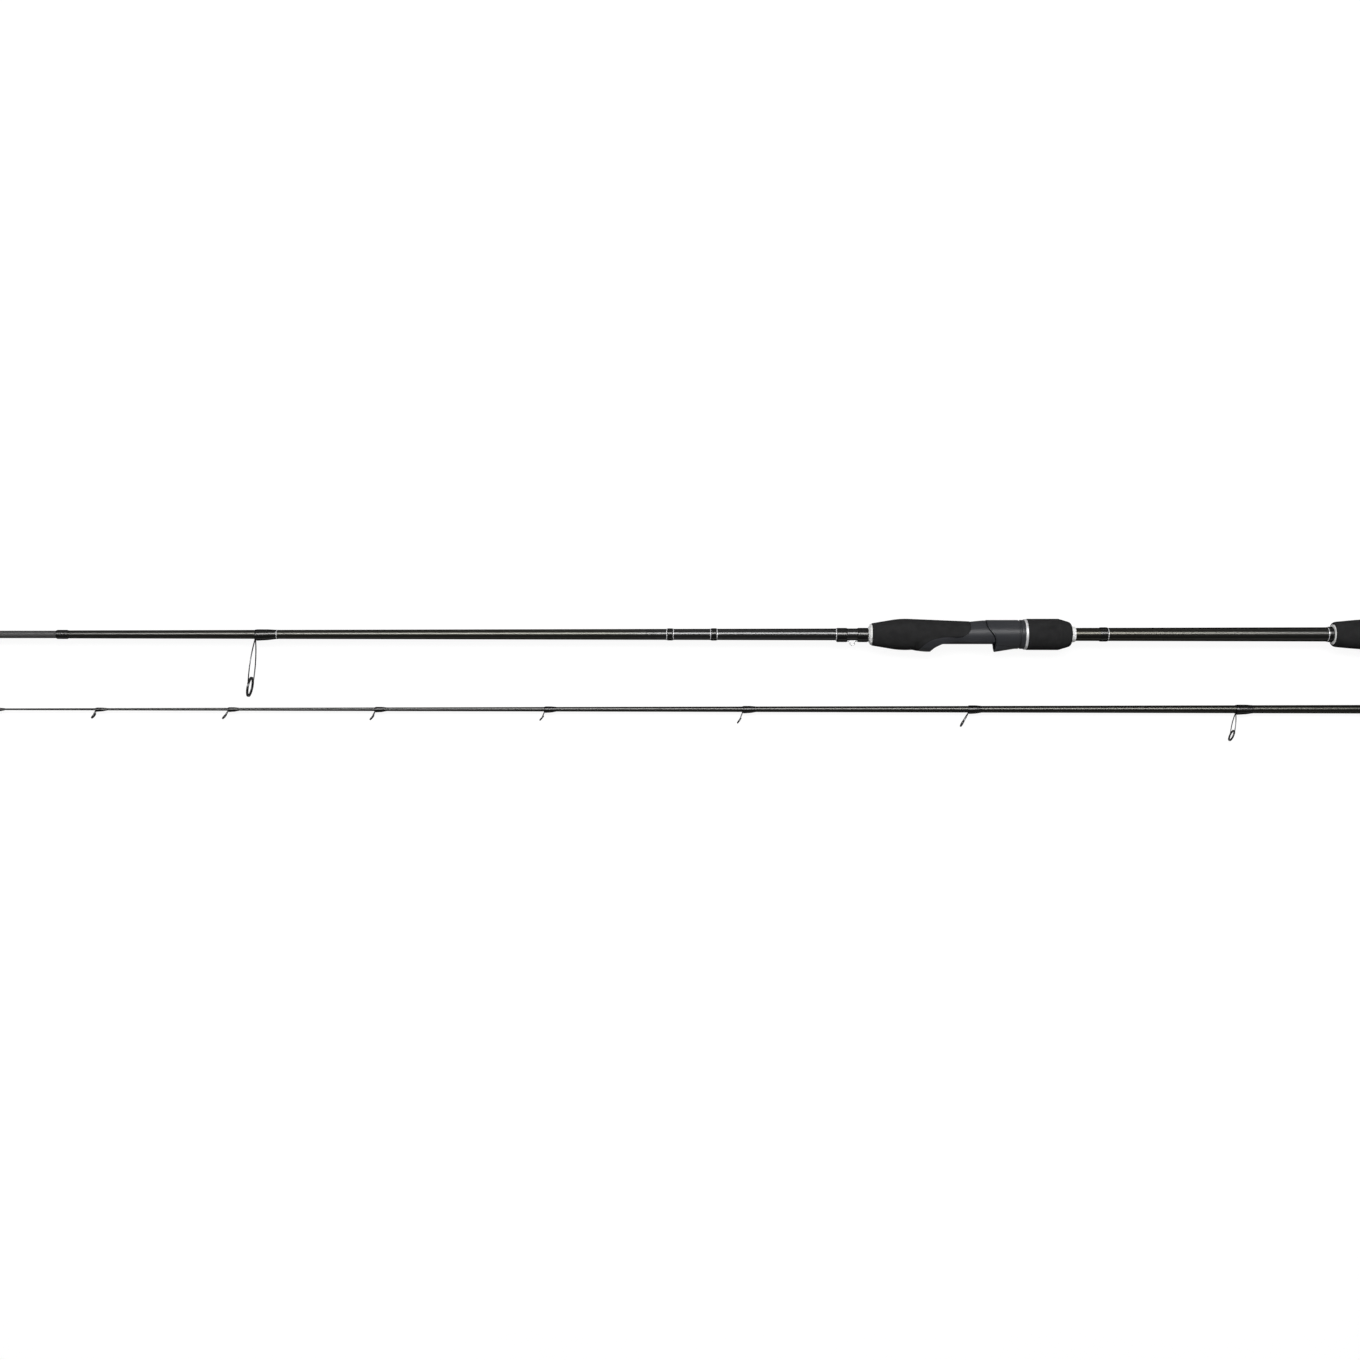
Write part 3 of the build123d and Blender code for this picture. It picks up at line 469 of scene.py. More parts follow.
@dataclass(frozen=True)
class Moulding:
    """Moulded plastic with a fine satin texture."""

    name: str
    colour: Colour
    light: Colour
    low: float = 0.34
    high: float = 0.42
    grain: float = 2600.0
    depth: float = 0.008 * MM
    edge: float = 0.35 * MM
    shine: float = 0.5
    metallic: float = 0.0
    cloud_scale: float = 60.0
    strength: float = 0.5

    def material(self) -> bpy.types.Material:
        """Build the material.

        Returns:
            The finished material.
        """
        graph = Graph(self.name)
        clouds = graph.noise(graph.place, self.cloud_scale)
        graph.join(graph.ramp(clouds, (0.3, self.colour), (0.75, self.light)), graph.shader.inputs["Base Color"])
        texture = graph.noise(graph.place, self.grain, detail=2.0)
        graph.join(graph.span(texture, self.low, self.high), graph.shader.inputs["Roughness"])
        graph.constant(Specular_IOR_Level=self.shine, Metallic=self.metallic)
        normal = graph.relief(texture, self.depth, self.strength, graph.rounded(self.edge))
        graph.join(normal, graph.shader.inputs["Normal"])
        return graph.material


@dataclass(frozen=True)
class ClosedCellFoam:
    """Matte closed-cell foam with fine open pores where it was ground to shape."""

    name: str
    colour: Colour = (0.017, 0.017, 0.0175)
    worn: Colour = (0.025, 0.025, 0.0255)
    pores: float = 2600.0
    pore_height: float = 0.08 * MM
    pore_strength: float = 0.7
    mottle_scale: float = 170.0
    mottle_height: float = 0.1 * MM
    mottle_strength: float = 0.4
    low: float = 0.78
    high: float = 0.95
    shine: float = 0.06

    def material(self) -> bpy.types.Material:
        """Build the material.

        Returns:
            The finished material.
        """
        graph = Graph(self.name)
        cells = graph.cells(graph.place, self.pores)
        mottle = graph.noise(graph.place, self.mottle_scale, detail=4.0)
        graph.join(graph.ramp(mottle, (0.3, self.colour), (0.75, self.worn)), graph.shader.inputs["Base Color"])
        graph.join(graph.span(mottle, self.low, self.high), graph.shader.inputs["Roughness"])
        graph.constant(Specular_IOR_Level=self.shine)
        fine = graph.relief(cells, self.pore_height, self.pore_strength)
        normal = graph.relief(mottle, self.mottle_height, self.mottle_strength, fine)
        graph.join(normal, graph.shader.inputs["Normal"])
        return graph.material


@dataclass
class Winding:
    """A thread wound round the x axis, made by a Geometry Nodes tree with its sizes as inputs."""

    name: str = "wound_thread"
    sides: int = 8
    steps: int = 48

    INPUTS: ClassVar[tuple[str, ...]] = (
        "Start",
        "Length",
        "Start Radius",
        "End Radius",
        "Thread Radius",
        "Turns",
        "Axis Y",
        "Axis Z",
    )

    def tree(self, material: bpy.types.Material) -> bpy.types.GeometryNodeTree:
        """Build the node tree.

        Args:
            material: What the thread is made of.

        Returns:
            The tree, with its sizes as named inputs.
        """
        tree = bpy.data.node_groups.new(self.name, "GeometryNodeTree")
        for name in self.INPUTS:
            tree.interface.new_socket(name, in_out="INPUT", socket_type="NodeSocketFloat")
        tree.interface.new_socket("Geometry", in_out="OUTPUT", socket_type="NodeSocketGeometry")
        nodes, links = tree.nodes, tree.links
        sizes = nodes.new("NodeGroupInput")
        spiral = nodes.new("GeometryNodeCurveSpiral")
        spiral.inputs["Resolution"].default_value = self.steps
        links.new(sizes.outputs["Turns"], spiral.inputs["Rotations"])
        links.new(sizes.outputs["Start Radius"], spiral.inputs["Start Radius"])
        links.new(sizes.outputs["End Radius"], spiral.inputs["End Radius"])
        links.new(sizes.outputs["Length"], spiral.inputs["Height"])
        circle = nodes.new("GeometryNodeCurvePrimitiveCircle")
        circle.inputs["Resolution"].default_value = self.sides
        links.new(sizes.outputs["Thread Radius"], circle.inputs["Radius"])
        tube = nodes.new("GeometryNodeCurveToMesh")
        tube.inputs["Fill Caps"].default_value = True
        links.new(spiral.outputs["Curve"], tube.inputs["Curve"])
        links.new(circle.outputs["Curve"], tube.inputs["Profile Curve"])
        place = nodes.new("ShaderNodeCombineXYZ")
        links.new(sizes.outputs["Start"], place.inputs["X"])
        links.new(sizes.outputs["Axis Y"], place.inputs["Y"])
        links.new(sizes.outputs["Axis Z"], place.inputs["Z"])
        lay = nodes.new("GeometryNodeTransform")
        lay.inputs["Rotation"].default_value = (0.0, math.pi / 2, 0.0)
        links.new(tube.outputs["Mesh"], lay.inputs["Geometry"])
        links.new(place.outputs["Vector"], lay.inputs["Translation"])
        real = nodes.new("GeometryNodeRealizeInstances")
        links.new(lay.outputs["Geometry"], real.inputs["Geometry"])
        coat = nodes.new("GeometryNodeSetMaterial")
        coat.inputs["Material"].default_value = material
        links.new(real.outputs["Geometry"], coat.inputs["Geometry"])
        output = nodes.new("NodeGroupOutput")
        links.new(coat.outputs["Geometry"], output.inputs["Geometry"])
        return tree

    def meshes(
        self, name: str, material: bpy.types.Material, windings: list[dict[str, float]]
    ) -> bpy.types.Object:
        """Wind several threads and join them in one piece.

        Args:
            name: The piece's name.
            material: What the thread is made of.
            windings: The tree's inputs, one dictionary for each thread.

        Returns:
            The finished piece.
        """
        tree = self.tree(material)
        keys = {item.name: item.identifier for item in tree.interface.items_tree if item.in_out == "INPUT"}
        whole = bmesh.new()
        for sizes in windings:
            holder = bpy.data.objects.new(name + "_holder", bpy.data.meshes.new(name + "_holder"))
            bpy.context.scene.collection.objects.link(holder)
            modifier = holder.modifiers.new("winding", "NODES")
            modifier.node_group = tree
            for key, value in sizes.items():
                modifier[keys[key]] = value
            mesh = evaluated(holder)
            whole.from_mesh(mesh)
            bpy.data.objects.remove(holder)
            bpy.data.meshes.remove(mesh)
        mesh = bpy.data.meshes.new(name)
        bmesh.ops.recalc_face_normals(whole, faces=whole.faces)
        whole.to_mesh(mesh)
        whole.free()
        mesh.materials.append(material)
        mesh.shade_smooth()
        return linked(name, mesh)


def linked(name: str, mesh: bpy.types.Mesh) -> bpy.types.Object:
    """Put a mesh in the scene.

    Args:
        name: The piece's name.
        mesh: Its mesh.

    Returns:
        The new piece.
    """
    piece = bpy.data.objects.new(name, mesh)
    bpy.context.scene.collection.objects.link(piece)
    return piece


def evaluated(piece: bpy.types.Object) -> bpy.types.Mesh:
    """The plain mesh of a piece with its modifiers."""
    graph = bpy.context.evaluated_depsgraph_get()
    return bpy.data.meshes.new_from_object(piece.evaluated_get(graph), depsgraph=graph)


def dress(material: bpy.types.Material, *nodes: str) -> None:
    """Give CAD nodes a material.

    Args:
        material: The finish.
        nodes: The nodes' names.
    """
    for name in nodes:
        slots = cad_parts[name].data.materials
        slots.clear()
        slots.append(material)
        LOG.info("dressed %s in %s", name, material.name)


def attach(piece: bpy.types.Object, body: Body, slot: Slot, *nodes: str) -> None:
    """Let a new piece ride on a body and stand for CAD nodes.

    Args:
        piece: The new piece.
        body: What it moves with.
        slot: Not used.
        nodes: The nodes that it stands for.
    """
    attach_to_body(piece, body.value)
    if nodes:
        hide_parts(*nodes)
    LOG.info("made %s on %s with %d faces", piece.name, body.value, len(piece.data.polygons))


def axis_of(node: str) -> tuple[float, float]:
    """The y and z of a turned node's axis, from its box."""
    low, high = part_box(node)
    return (low.y + high.y) / 2, (low.z + high.z) / 2


@dataclass
class Blanks:
    """The two carbon tubes: dark pearl, warmer in the middle of the butt and behind the seat."""

    cool: Colour = (0.096, 0.095, 0.091)
    warm: Colour = (0.101, 0.100, 0.088)
    grey: Colour = (0.114, 0.114, 0.114)
    rear: Colour = (0.087, 0.084, 0.071)
    warm_from: float = 0.6
    warm_to: float = 0.9
    tip_cool: float = 0.6
    lead: float = MM
    shoulder: float = field(default_factory=lambda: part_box("butt_ferrule_wrap")[0].x)
    label: float = field(default_factory=lambda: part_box("label_band_wraps")[0].x)
    seat: tuple[Vector, Vector] = field(default_factory=lambda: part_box("reel_seat_body"))
    grip: float = field(default_factory=lambda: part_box("butt_winding_check")[0].x)
    tip: tuple[Vector, Vector] = field(default_factory=lambda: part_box("tip_blank"))

    def build(self) -> None:
        """Dress both tubes."""
        whole = self.grip - self.shoulder
        label = (self.label - self.shoulder) / whole
        front, back = ((corner.x - self.shoulder) / whole for corner in self.seat)
        tints = (
            (0.0, self.cool),
            (self.warm_from * label, self.warm),
            (self.warm_to * label, self.warm),
            (label, self.grey),
            (front, self.grey),
            (back, self.rear),
            (1.0, self.cool),
        )
        dress(PearlLacquer("butt_lacquer", self.shoulder, self.grip, tints).material(), "butt_blank")
        start, mouth = (corner.x for corner in self.tip)
        tints = ((0.0, self.grey), (self.tip_cool, self.cool), (1.0, self.warm))
        dress(PearlLacquer("tip_lacquer", start - self.lead, mouth, tints).material(), "tip_blank")


@dataclass
class ThreadWork:
    """The black wraps and the silver trim threads."""

    wraps: tuple[str, ...] = (
        "butt_ferrule_wrap",
        "stripper_guide_wrap",
        "label_band_wraps",
        "keeper_wraps",
        "rear_accent_wrap",
        "butt_accent_wrap",
        "tip_ferrule_wrap",
        "tip_top_wrap",
    )
    trim: str = "silver_trim_bands"
    turns: int = 3
    gap: float = 2.0 * MM

    def bands(self) -> list[tuple[float, float, float]]:
        """Find the trim's bands.

        Returns:
            The start, the end and the inner radius of each band.
        """
        centre_y, centre_z = axis_of(self.trim)
        points = sorted((v.co.copy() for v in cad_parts[self.trim].data.vertices), key=lambda p: p.x)
        groups: list[list[Vector]] = [[points[0]]]
        for point in points[1:]:
            if point.x - groups[-1][-1].x > self.gap:
                groups.append([])
            groups[-1].append(point)
        found = []
        for group in groups:
            radius = min(math.hypot(p.y - centre_y, p.z - centre_z) for p in group)
            found.append((group[0].x, group[-1].x, radius))
        return found

    def windings(self) -> list[dict[str, float]]:
        """Size the trim's threads.

        Returns:
            The winding tree's inputs, one dictionary for each thread.
        """
        centre_y, centre_z = axis_of(self.trim)
        sizes = []
        for start, end, radius in self.bands():
            thread = (end - start) / (self.turns + 1) / 2
            sizes.append(
                {
                    "Start": start + thread,
                    "Length": end - start - 2 * thread,
                    "Start Radius": radius + thread,
                    "End Radius": radius + thread,
                    "Thread Radius": thread,
                    "Turns": self.turns,
                    "Axis Y": centre_y,
                    "Axis Z": centre_z,
                }
            )
        return sizes

    def build(self) -> None:
        """Dress the wraps and wind the trim."""
        tip_guides = [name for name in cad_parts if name.startswith("tip_guide")]
        guides = [name for name in tip_guides if name.endswith("_wrap")]
        dress(BoundThread("black_thread").material(), *self.wraps, *guides)
        silver = BrightMetal("silver_thread", SILVER, DULL_SILVER, edge=0.0, metallic=0.45)
        piece = Winding().meshes("silver_trim_threads", silver.material(), self.windings())
        attach(piece, Body.BUTT, Slot.SILVER, self.trim)


@dataclass
class Guides:
    """The line guides: steel frames with hard rings."""

    def build(self) -> None:
        """Dress frames and rings."""
        frames = [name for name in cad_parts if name.endswith("_frame")]
        rings = [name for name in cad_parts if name.endswith("_ring") and "guide" in name]
        dress(BrightMetal("guide_steel", (0.13, 0.13, 0.134), (0.09, 0.09, 0.093)).material(), *frames)
        dress(DarkCeramic("guide_ceramic").material(), *rings, "tip_top_ring")


@dataclass
class SmallParts:
    """Hook keeper, white rings, trim ring and butt cap."""

    def build(self) -> None:
        """Dress the small parts."""
        keeper = BrightMetal(
            "keeper_wire", SILVER, DULL_SILVER, low=0.3, high=0.42, edge=0.0, metallic=0.5
        )
        dress(keeper.material(), "hook_keeper")
        white = Moulding(
            "white_plastic", (0.80, 0.80, 0.79), (0.84, 0.84, 0.83), depth=0.002 * MM, edge=0.0, shine=0.3
        )
        dress(white.material(), "front_winding_check", "butt_winding_check", "nut_end_ring")
        ring = Moulding("silver_paint", (0.72, 0.72, 0.73), (0.79, 0.79, 0.80), edge=0.4 * MM, metallic=0.35)
        dress(ring.material(), "nut_trim_ring")
        rubber = Moulding(
            "cap_rubber", (0.016, 0.016, 0.016), (0.024, 0.024, 0.024), low=0.6, high=0.75, shine=0.2
        )
        dress(rubber.material(), "butt_cap")


@dataclass
class FoamGrips:
    """The two turned foam grips, with softened edges and a slight swell over what they cover."""

    voxel: float = 0.4 * MM
    passes: int = 3
    softness: float = 0.5
    fill: float = 1.0
    grips: tuple[tuple[str, Body, float], ...] = (
        ("nut_grip", Body.NUT, 0.12 * MM),
        ("butt_grip", Body.BUTT, 0.05 * MM),
    )

    def form(self, node: str, swell: float, material: bpy.types.Material) -> bpy.types.Object:
        """Make one grip from its solid.

        Args:
            node: The solid's name.
            swell: How far the foam stands out from the solid.
            material: The foam.

        Returns:
            The finished piece.
        """
        solid = bmesh.new()
        solid.from_mesh(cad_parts[node].data)
        bmesh.ops.remove_doubles(solid, verts=solid.verts, dist=MERGE)
        mesh = bpy.data.meshes.new(node + "_foam")
        solid.to_mesh(mesh)
        solid.free()
        piece = linked(node + "_foam", mesh)
        stretch = piece.modifiers.new("swell", "DISPLACE")
        stretch.mid_level = 0.0
        stretch.strength = swell
        remesh = piece.modifiers.new("even", "REMESH")
        remesh.mode = "VOXEL"
        remesh.voxel_size = self.voxel
        remesh.use_smooth_shade = True
        soften = piece.modifiers.new("soften", "SMOOTH")
        soften.factor = self.softness
        soften.iterations = self.passes
        piece.data = evaluated(piece)
        piece.modifiers.clear()
        piece.data.name = piece.name
        piece.data.materials.clear()
        piece.data.materials.append(material)
        return piece

    def build(self) -> None:
        """Make the grips in place of their solids."""
        foam = ClosedCellFoam("grip_foam").material()
        for node, body, swell in self.grips:
            piece = self.form(node, swell, foam)
            attach(piece, body, Slot.FOAM, node)


@dataclass
class Foregrip:
    """The foam foregrip: a turned form whose lower edge sweeps up over the seat and ends in a round tail.

    Sizes are in millimetres, along the rod from the grip's front face or out from the rod's axis.
    """

    front_radius: float = 7.95
    swell_radius: float = 11.38
    swell_at: float = 20.4
    tail_radius: float = 9.3
    length: float = 70.5
    blend: float = 6.2
    core: float = 4.7
    proud: float = 0.1
    round_edge: float = 0.45
    tail_round: float = 8.6
    straight_drop: float = 2.4
    sweep: tuple[tuple[float, float], ...] = ((32.2, 11.6), (34.6, 9.4), (38.0, 6.7), (44.2, 3.8), (54.9, 2.4))
    hood_rise: float = 8.0
    hood_drops: tuple[tuple[float, float], ...] = ((20.0, 7.9), (41.9, 12.5), (60.0, 8.85))
    columns: int = 44
    column_ease: float = 1.6
    closed: float = math.pi - 0.01
    edge_shares: tuple[float, ...] = (0.0, 0.12, 0.35, 0.65, 1.0)
    rows: int = 150
    lead_rows: int = 20
    rise: float = 3.0
    rise_rows: int = 30
    rise_ease: float = 1.5
    sweep_rows: int = 60
    tail_rows: int = 40
    merge: float = 0.002

    def profile(self, x: float) -> float:
        """Follow the turned form's outline, a rise and a fall with a rounded swell between them.

        Args:
            x: The station.

        Returns:
            The radius there.
        """
        rise = (self.swell_radius - self.front_radius) / self.swell_at
        fall = (self.tail_radius - self.swell_radius) / (self.length - self.swell_at)
        if x < self.swell_at - self.blend:
            return self.front_radius + rise * x
        if x > self.swell_at + self.blend:
            return self.swell_radius + fall * (x - self.swell_at)
        share = (x - self.swell_at + self.blend) / (2 * self.blend)
        start = self.swell_radius - rise * self.blend
        end = self.swell_radius + fall * self.blend
        return (1 - share) ** 2 * start + 2 * share * (1 - share) * self.swell_radius + share**2 * end

    def hood(self, x: float, angle: float) -> float:
        """How far the seat's fixed hood reaches out from the axis.

        Args:
            x: The station.
            angle: The direction, from the top of the rod.

        Returns:
            The reach, or 0 where the hood has not begun.
        """
        if x < self.hood_drops[0][0]:
            return 0.0
        drop = 0.0
        for place, value in self.hood_drops:
            others = [other for other, _ in self.hood_drops if other != place]
            drop += value * math.prod((x - other) / (place - other) for other in others)
        middle, radius = (self.hood_rise - drop) / 2, (self.hood_rise + drop) / 2
        return middle * math.cos(angle) + math.sqrt(radius**2 - (middle * math.sin(angle)) ** 2)

    def lower_edge(self, x: float) -> float:
        """Follow the foam's lower edge.

        Args:
            x: The station.

        Returns:
            The edge's height there, below the whole form where that is still round.
        """
        first, last = self.sweep[0], self.sweep[-1]
        turn = self.length - self.tail_round
        if x <= first[0]:
            return -2 * self.swell_radius
        if x >= turn:
            along = min(x - turn, self.tail_round)
            return -self.straight_drop + self.tail_round - math.sqrt(self.tail_round**2 - along**2)
        if x >= last[0]:
            return -last[1]
        return -self.swept(x)

    def swept(self, x: float) -> float:
        """Follow the sweep by a smooth curve through its points.

        Args:
            x: A station between its first and last point.

        Returns:
            The lower edge's drop there.
        """
        points = self.sweep
        slopes = [(b[1] - a[1]) / (b[0] - a[0]) for a, b in zip(points, points[1:])]
        tangents = [slopes[0], *(2 * a * b / (a + b) for a, b in zip(slopes, slopes[1:])), 0.0]
        index = max(i for i, point in enumerate(points[:-1]) if x >= point[0])
        (x0, y0), (x1, y1) = points[index], points[index + 1]
        step = x1 - x0
        u = (x - x0) / step
        ease = u * u * (3 - 2 * u)
        lead = step * u * (1 - u) ** 2 * tangents[index]
        tail = step * u * u * (u - 1) * tangents[index + 1]
        return y0 * (1 - ease) + y1 * ease + lead + tail

    def stations(self) -> list[float]:
        """Spread the cross-sections, closer together at the grip's ends and where the sweep starts.

        Returns:
            The stations, from front to tail.
        """
        edge, start, turn = self.round_edge, self.sweep[0][0], self.length - self.tail_round
        lead, rise, sweep, tail = self.lead_rows, self.rise_rows, self.sweep_rows, self.tail_rows
        spots = [edge * share for share in self.edge_shares]
        spots += [edge + (start - edge) * i / self.rows for i in range(2, self.rows // 2, 2)]
        spots += [spots[-1] + (start - spots[-1]) * i / lead for i in range(1, lead + 1)]
        spots += [start + self.rise * (i / rise) ** self.rise_ease for i in range(1, rise + 1)]
        spots += [start + self.rise + (turn - start - self.rise) * i / sweep for i in range(1, sweep + 1)]
        spots += [turn + self.tail_round * math.sin(math.pi / 2 * i / tail) for i in range(1, tail + 1)]
        return spots

    def section(self, x: float) -> tuple[list[tuple[float, float]], list[tuple[float, float]]]:
        """One cross-section of the foam.

        Args:
            x: The station.

        Returns:
            The outer points and the inner points, as (y, z) from the axis.
        """
        base = self.profile(x) + self.proud
        ratio = max(-1.0, min(1.0, self.lower_edge(x) / base))
        reach = math.acos(ratio)
        ends = min(x, self.length - x) / self.round_edge
        worn = self.round_edge * (1 - math.sqrt(max(0.0, 1 - (1 - min(1.0, ends)) ** 2)))
        outer, inner = [], []
        for i in range(-self.columns, self.columns + 1):
            share = 1 - (1 - abs(i) / self.columns) ** self.column_ease
            angle = math.copysign(reach * share, i)
            radius = max(base, self.hood(x, angle) + self.proud) - worn
            near = (reach - abs(angle)) * base / self.round_edge
            if reach < self.closed and near < 1:
                radius -= self.round_edge * (1 - math.sqrt(max(0.0, 1 - (1 - near) ** 2)))
            outer.append((radius * math.cos(angle), radius * math.sin(angle)))
            inner.append((self.core * math.cos(angle), self.core * math.sin(angle)))
        return outer, inner

    def mesh(self, material: bpy.types.Material) -> bpy.types.Mesh:
        """The closed foam mesh in its place on the rod.

        Args:
            material: The foam.

        Returns:
            The mesh.
        """
        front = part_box("foregrip")[0].x
        centre_y, centre_z = axis_of("butt_winding_check")
        form = bmesh.new()
        loops = []
        for x in self.stations():
            outer, inner = self.section(x)
            ring = outer + inner[::-1]
            place = [(front + x * MM, centre_y + y * MM, centre_z + z * MM) for y, z in ring]
            loops.append([form.verts.new(point) for point in place])
        count = len(loops[0])
        for first, second in zip(loops, loops[1:]):
            for i in range(count):
                j = (i + 1) % count
                form.faces.new((first[i], first[j], second[j], second[i]))
        half = count // 2
        for loop in (loops[0], loops[-1]):
            for i in range(half - 1):
                form.faces.new((loop[i], loop[i + 1], loop[count - 2 - i], loop[count - 1 - i]))
        bmesh.ops.remove_doubles(form, verts=form.verts, dist=self.merge * MM)
        bmesh.ops.dissolve_degenerate(form, edges=form.edges, dist=MERGE)
        bmesh.ops.recalc_face_normals(form, faces=form.faces)
        mesh = bpy.data.meshes.new("foregrip_foam")
        form.to_mesh(mesh)
        form.free()
        mesh.materials.append(material)
        mesh.shade_smooth()
        return mesh

    def build(self) -> None:
        """Make the grip in place of its solid."""
        piece = linked("foregrip_foam", self.mesh(ClosedCellFoam("foregrip_foam_finish").material()))
        attach(piece, Body.BUTT, Slot.FOAM, "foregrip")


@dataclass
class ReelSeat:
    """Seat body, sliding hood and lock nut, with the screw thread on the barrel."""

    pitch: float = 2.0 * MM
    ridge: float = 0.18 * MM
    barrel_radius: float = 7.0 * MM
    travel: float = 12.0 * MM
    run_out: int = 2

    def build(self) -> None:
        """Dress the mouldings and cut the barrel's thread."""
        satin = Moulding("seat_moulding", (0.027, 0.028, 0.032), (0.033, 0.034, 0.038), shine=0.3)
        plastic = satin.material()
        dress(plastic, "reel_seat_body", "moving_hood", "lock_nut")
        filler = Moulding("arbor_filler", (0.45, 0.38, 0.27), (0.55, 0.47, 0.34))
        dress(filler.material(), "seat_arbors")
        hood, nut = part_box("moving_hood"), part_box("lock_nut")
        centre_y, centre_z = axis_of("lock_nut")
        start = hood[1].x + self.travel + self.pitch / 2
        end = nut[1].x - self.run_out * self.pitch
        thread = {
            "Start": start,
            "Length": end - start,
            "Start Radius": self.barrel_radius,
            "End Radius": self.barrel_radius,
            "Thread Radius": self.ridge,
            "Turns": (end - start) / self.pitch,
            "Axis Y": centre_y,
            "Axis Z": centre_z,
        }
        piece = Winding(name="screw_thread", sides=6).meshes("barrel_thread", plastic, [thread])
        attach(piece, Body.BUTT, Slot.SEAT)


@dataclass(frozen=True)
class Softbox:
    """A rectangular lamp that faces the middle of the rod: its place and size in metres, its power in watts."""

    name: str
    place: Triple
    size: tuple[float, float]
    power: float


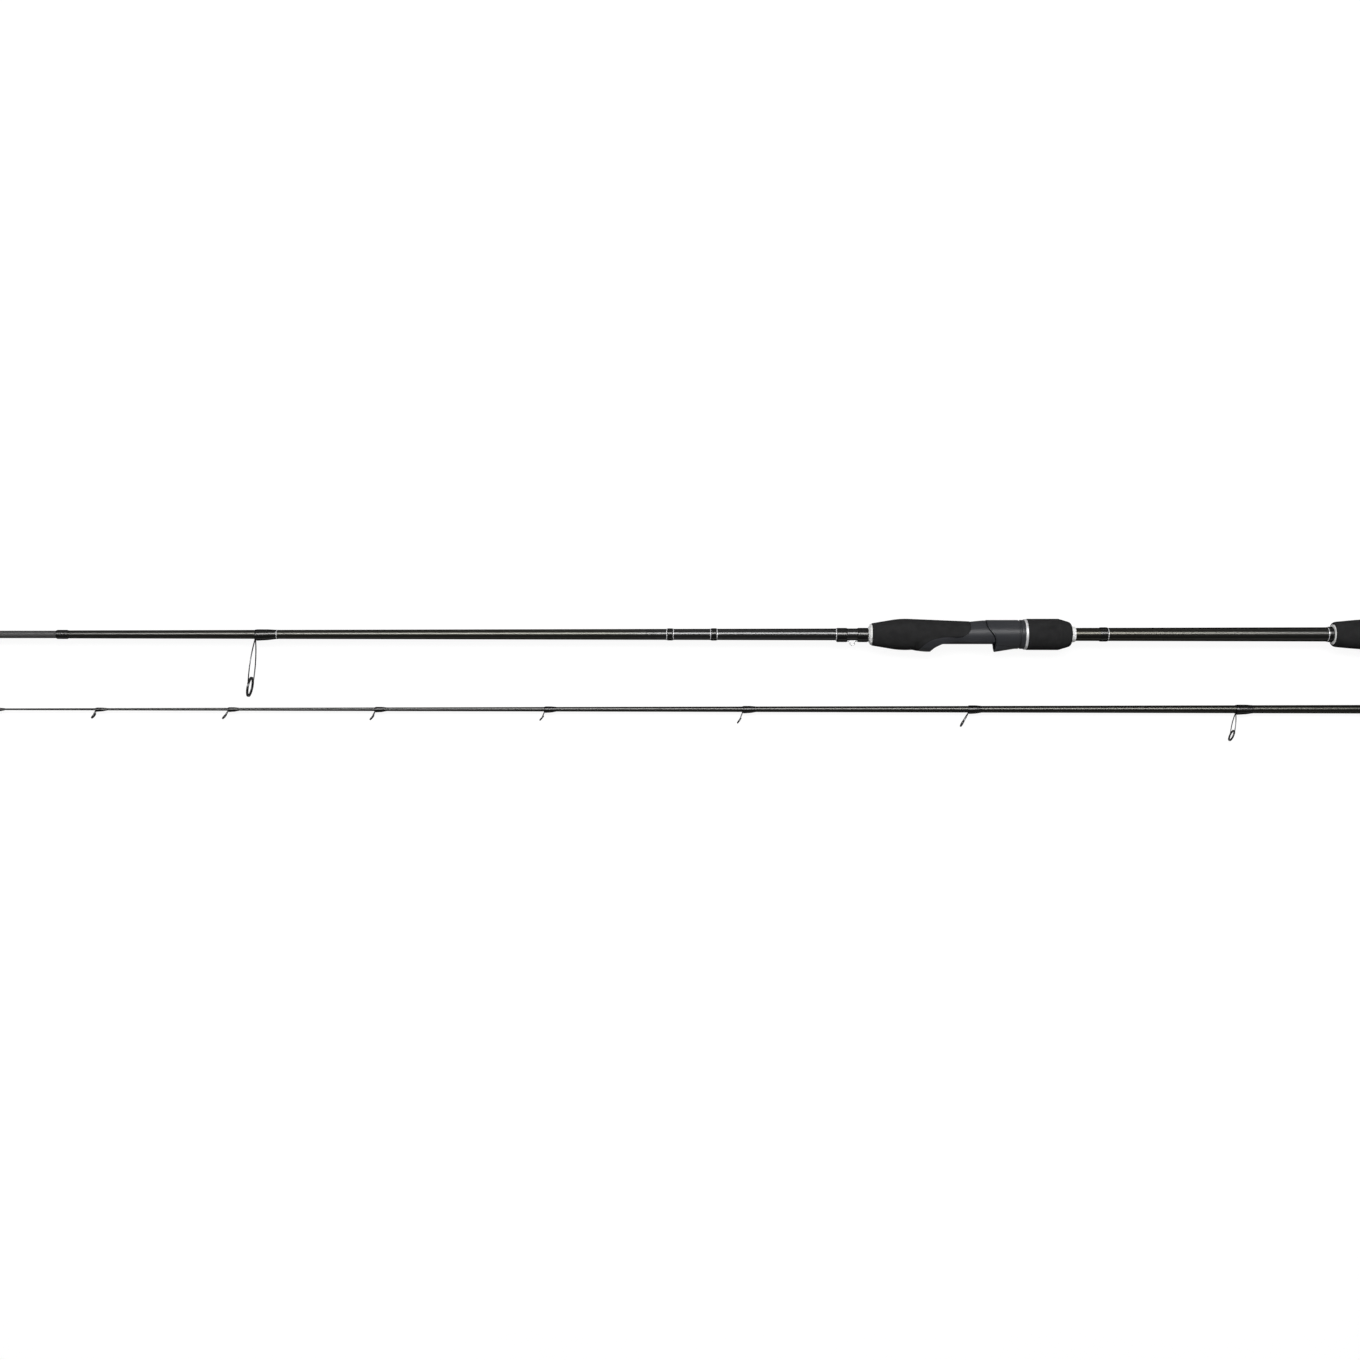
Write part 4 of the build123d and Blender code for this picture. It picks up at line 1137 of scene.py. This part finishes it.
@dataclass
class Studio:
    """A floor that the camera sees as white, soft lights and the camera over the rod."""

    lens: float = 43.68
    sensor: float = 36.0
    eye: Triple = (-0.0123, 0.0, 1.1995)
    floor_half: float = 12.0
    glow: float = 0.93
    mirrored_glow: float = 0.08
    mirrored_room: float = 0.03
    paper: tuple[Colour, Colour] = ((0.095, 0.095, 0.095), (0.105, 0.105, 0.105))
    paper_grain: float = 3.0
    wall_foot: tuple[float, float] = (0.02, 0.9)
    wall_top: tuple[float, float] = (0.2, 0.05)
    lamps: tuple[Softbox, ...] = (
        Softbox("strip_softbox", (0.0, 0.59, 1.38), (1.9, 0.35), 23.0),
        Softbox("wide_softbox", (0.0, 0.72, 1.5), (3.0, 1.4), 6.0),
        Softbox("front_softbox", (-2.0, 0.2, 1.3), (1.0, 1.0), 9.0),
        Softbox("rear_softbox", (2.0, 0.2, 1.3), (1.0, 1.0), 6.0),
    )

    def floor(self) -> None:
        """Lay the floor."""
        mesh = bpy.data.meshes.new("floor")
        half = self.floor_half
        corners = [(-half, -half, 0.0), (half, -half, 0.0), (half, half, 0.0), (-half, half, 0.0)]
        mesh.from_pydata(corners, [], [(0, 1, 2, 3)])
        piece = linked("floor", mesh)
        graph = Graph("floor_paper")
        grain = graph.noise(graph.place, self.paper_grain, detail=2.0)
        dark, light = self.paper
        paper = graph.ramp(grain, (0.3, dark), (0.7, light))
        graph.join(paper, graph.shader.inputs["Base Color"])
        graph.constant(Roughness=0.9, Specular_IOR_Level=0.0)
        self.brighten(graph)
        mesh.materials.append(graph.material)

    def brighten(self, graph: Graph) -> None:
        """Let the floor show as white to the camera and faintly in reflections, with its shadows kept.

        Args:
            graph: The floor's material.
        """
        graph.constant(Emission_Color=(*WHITE, 1.0))
        glow = self.seen(graph.tree, self.glow, self.mirrored_glow)
        graph.join(glow, graph.shader.inputs["Emission Strength"])

    def seen(self, tree: bpy.types.NodeTree, direct: float, mirrored: float) -> Socket:
        """A value for rays from the camera and another for rays that come by a mirror or through glass.

        Args:
            tree: The tree that reads it.
            direct: The value for the camera's own rays.
            mirrored: The value for glossy and transmitted rays.

        Returns:
            The value, 0 for all other rays.
        """
        rays = tree.nodes.new("ShaderNodeLightPath")
        either = tree.nodes.new("ShaderNodeMath")
        either.operation = "MAXIMUM"
        tree.links.new(rays.outputs["Is Glossy Ray"], either.inputs[0])
        tree.links.new(rays.outputs["Is Transmission Ray"], either.inputs[1])
        indirect = tree.nodes.new("ShaderNodeMath")
        indirect.operation = "MULTIPLY"
        indirect.inputs[1].default_value = mirrored
        tree.links.new(either.outputs[0], indirect.inputs[0])
        total = tree.nodes.new("ShaderNodeMath")
        total.operation = "MULTIPLY_ADD"
        total.inputs[1].default_value = direct
        tree.links.new(rays.outputs["Is Camera Ray"], total.inputs[0])
        tree.links.new(indirect.outputs[0], total.inputs[2])
        return total.outputs[0]

    def hang(self, box: Softbox) -> None:
        """Hang a softbox and turn it to the middle of the rod.

        Args:
            box: The lamp.
        """
        data = bpy.data.lights.new(box.name, "AREA")
        data.shape = "RECTANGLE"
        data.size, data.size_y = box.size
        data.energy = box.power
        lamp = bpy.data.objects.new(box.name, data)
        bpy.context.scene.collection.objects.link(lamp)
        lamp.location = box.place
        lamp.rotation_euler = (-Vector(box.place)).to_track_quat("-Z", "Y").to_euler()

    def world(self) -> None:
        """Build a dim room with pale walls, which the camera sees as pale all over."""
        world = bpy.data.worlds.new("room")
        bpy.context.scene.world = world
        world.use_nodes = True
        tree = world.node_tree
        tree.nodes.clear()
        place = tree.nodes.new("ShaderNodeTexCoord")
        parts = tree.nodes.new("ShaderNodeSeparateXYZ")
        tree.links.new(place.outputs["Generated"], parts.inputs[0])
        band = tree.nodes.new("ShaderNodeValToRGB")
        for element, (height, shade) in zip(band.color_ramp.elements, (self.wall_foot, self.wall_top)):
            element.position = height
            element.color = (shade, shade, shade, 1.0)
        tree.links.new(parts.outputs["Z"], band.inputs[0])
        walls = tree.nodes.new("ShaderNodeBackground")
        tree.links.new(band.outputs[0], walls.inputs["Color"])
        pale = tree.nodes.new("ShaderNodeBackground")
        pale.inputs["Color"].default_value = (self.glow, self.glow, self.glow, 1.0)
        view = tree.nodes.new("ShaderNodeMixShader")
        tree.links.new(self.seen(tree, 1.0, self.mirrored_room), view.inputs[0])
        tree.links.new(walls.outputs[0], view.inputs[1])
        tree.links.new(pale.outputs[0], view.inputs[2])
        output = tree.nodes.new("ShaderNodeOutputWorld")
        tree.links.new(view.outputs[0], output.inputs["Surface"])

    def camera(self) -> None:
        """Hang the camera straight over the rod."""
        data = bpy.data.cameras.new("over_rod")
        data.lens, data.sensor_width = self.lens, self.sensor
        camera = bpy.data.objects.new("over_rod", data)
        bpy.context.scene.collection.objects.link(camera)
        camera.location = self.eye
        bpy.context.scene.camera = camera

    def build(self) -> None:
        """Set up the studio."""
        self.camera()
        self.floor()
        self.world()
        for box in self.lamps:
            self.hang(box)
        bpy.context.scene.view_settings.view_transform = "Standard"


def main() -> None:
    """Dress every sub-assembly, then set up the studio."""
    logging.basicConfig(level=logging.INFO, format="%(message)s")
    rod = (Blanks(), ThreadWork(), Guides(), SmallParts(), Foregrip(), FoamGrips(), ReelSeat())
    for assembly in (*rod, Studio()):
        assembly.build()


if __name__ == "__main__":
    main()
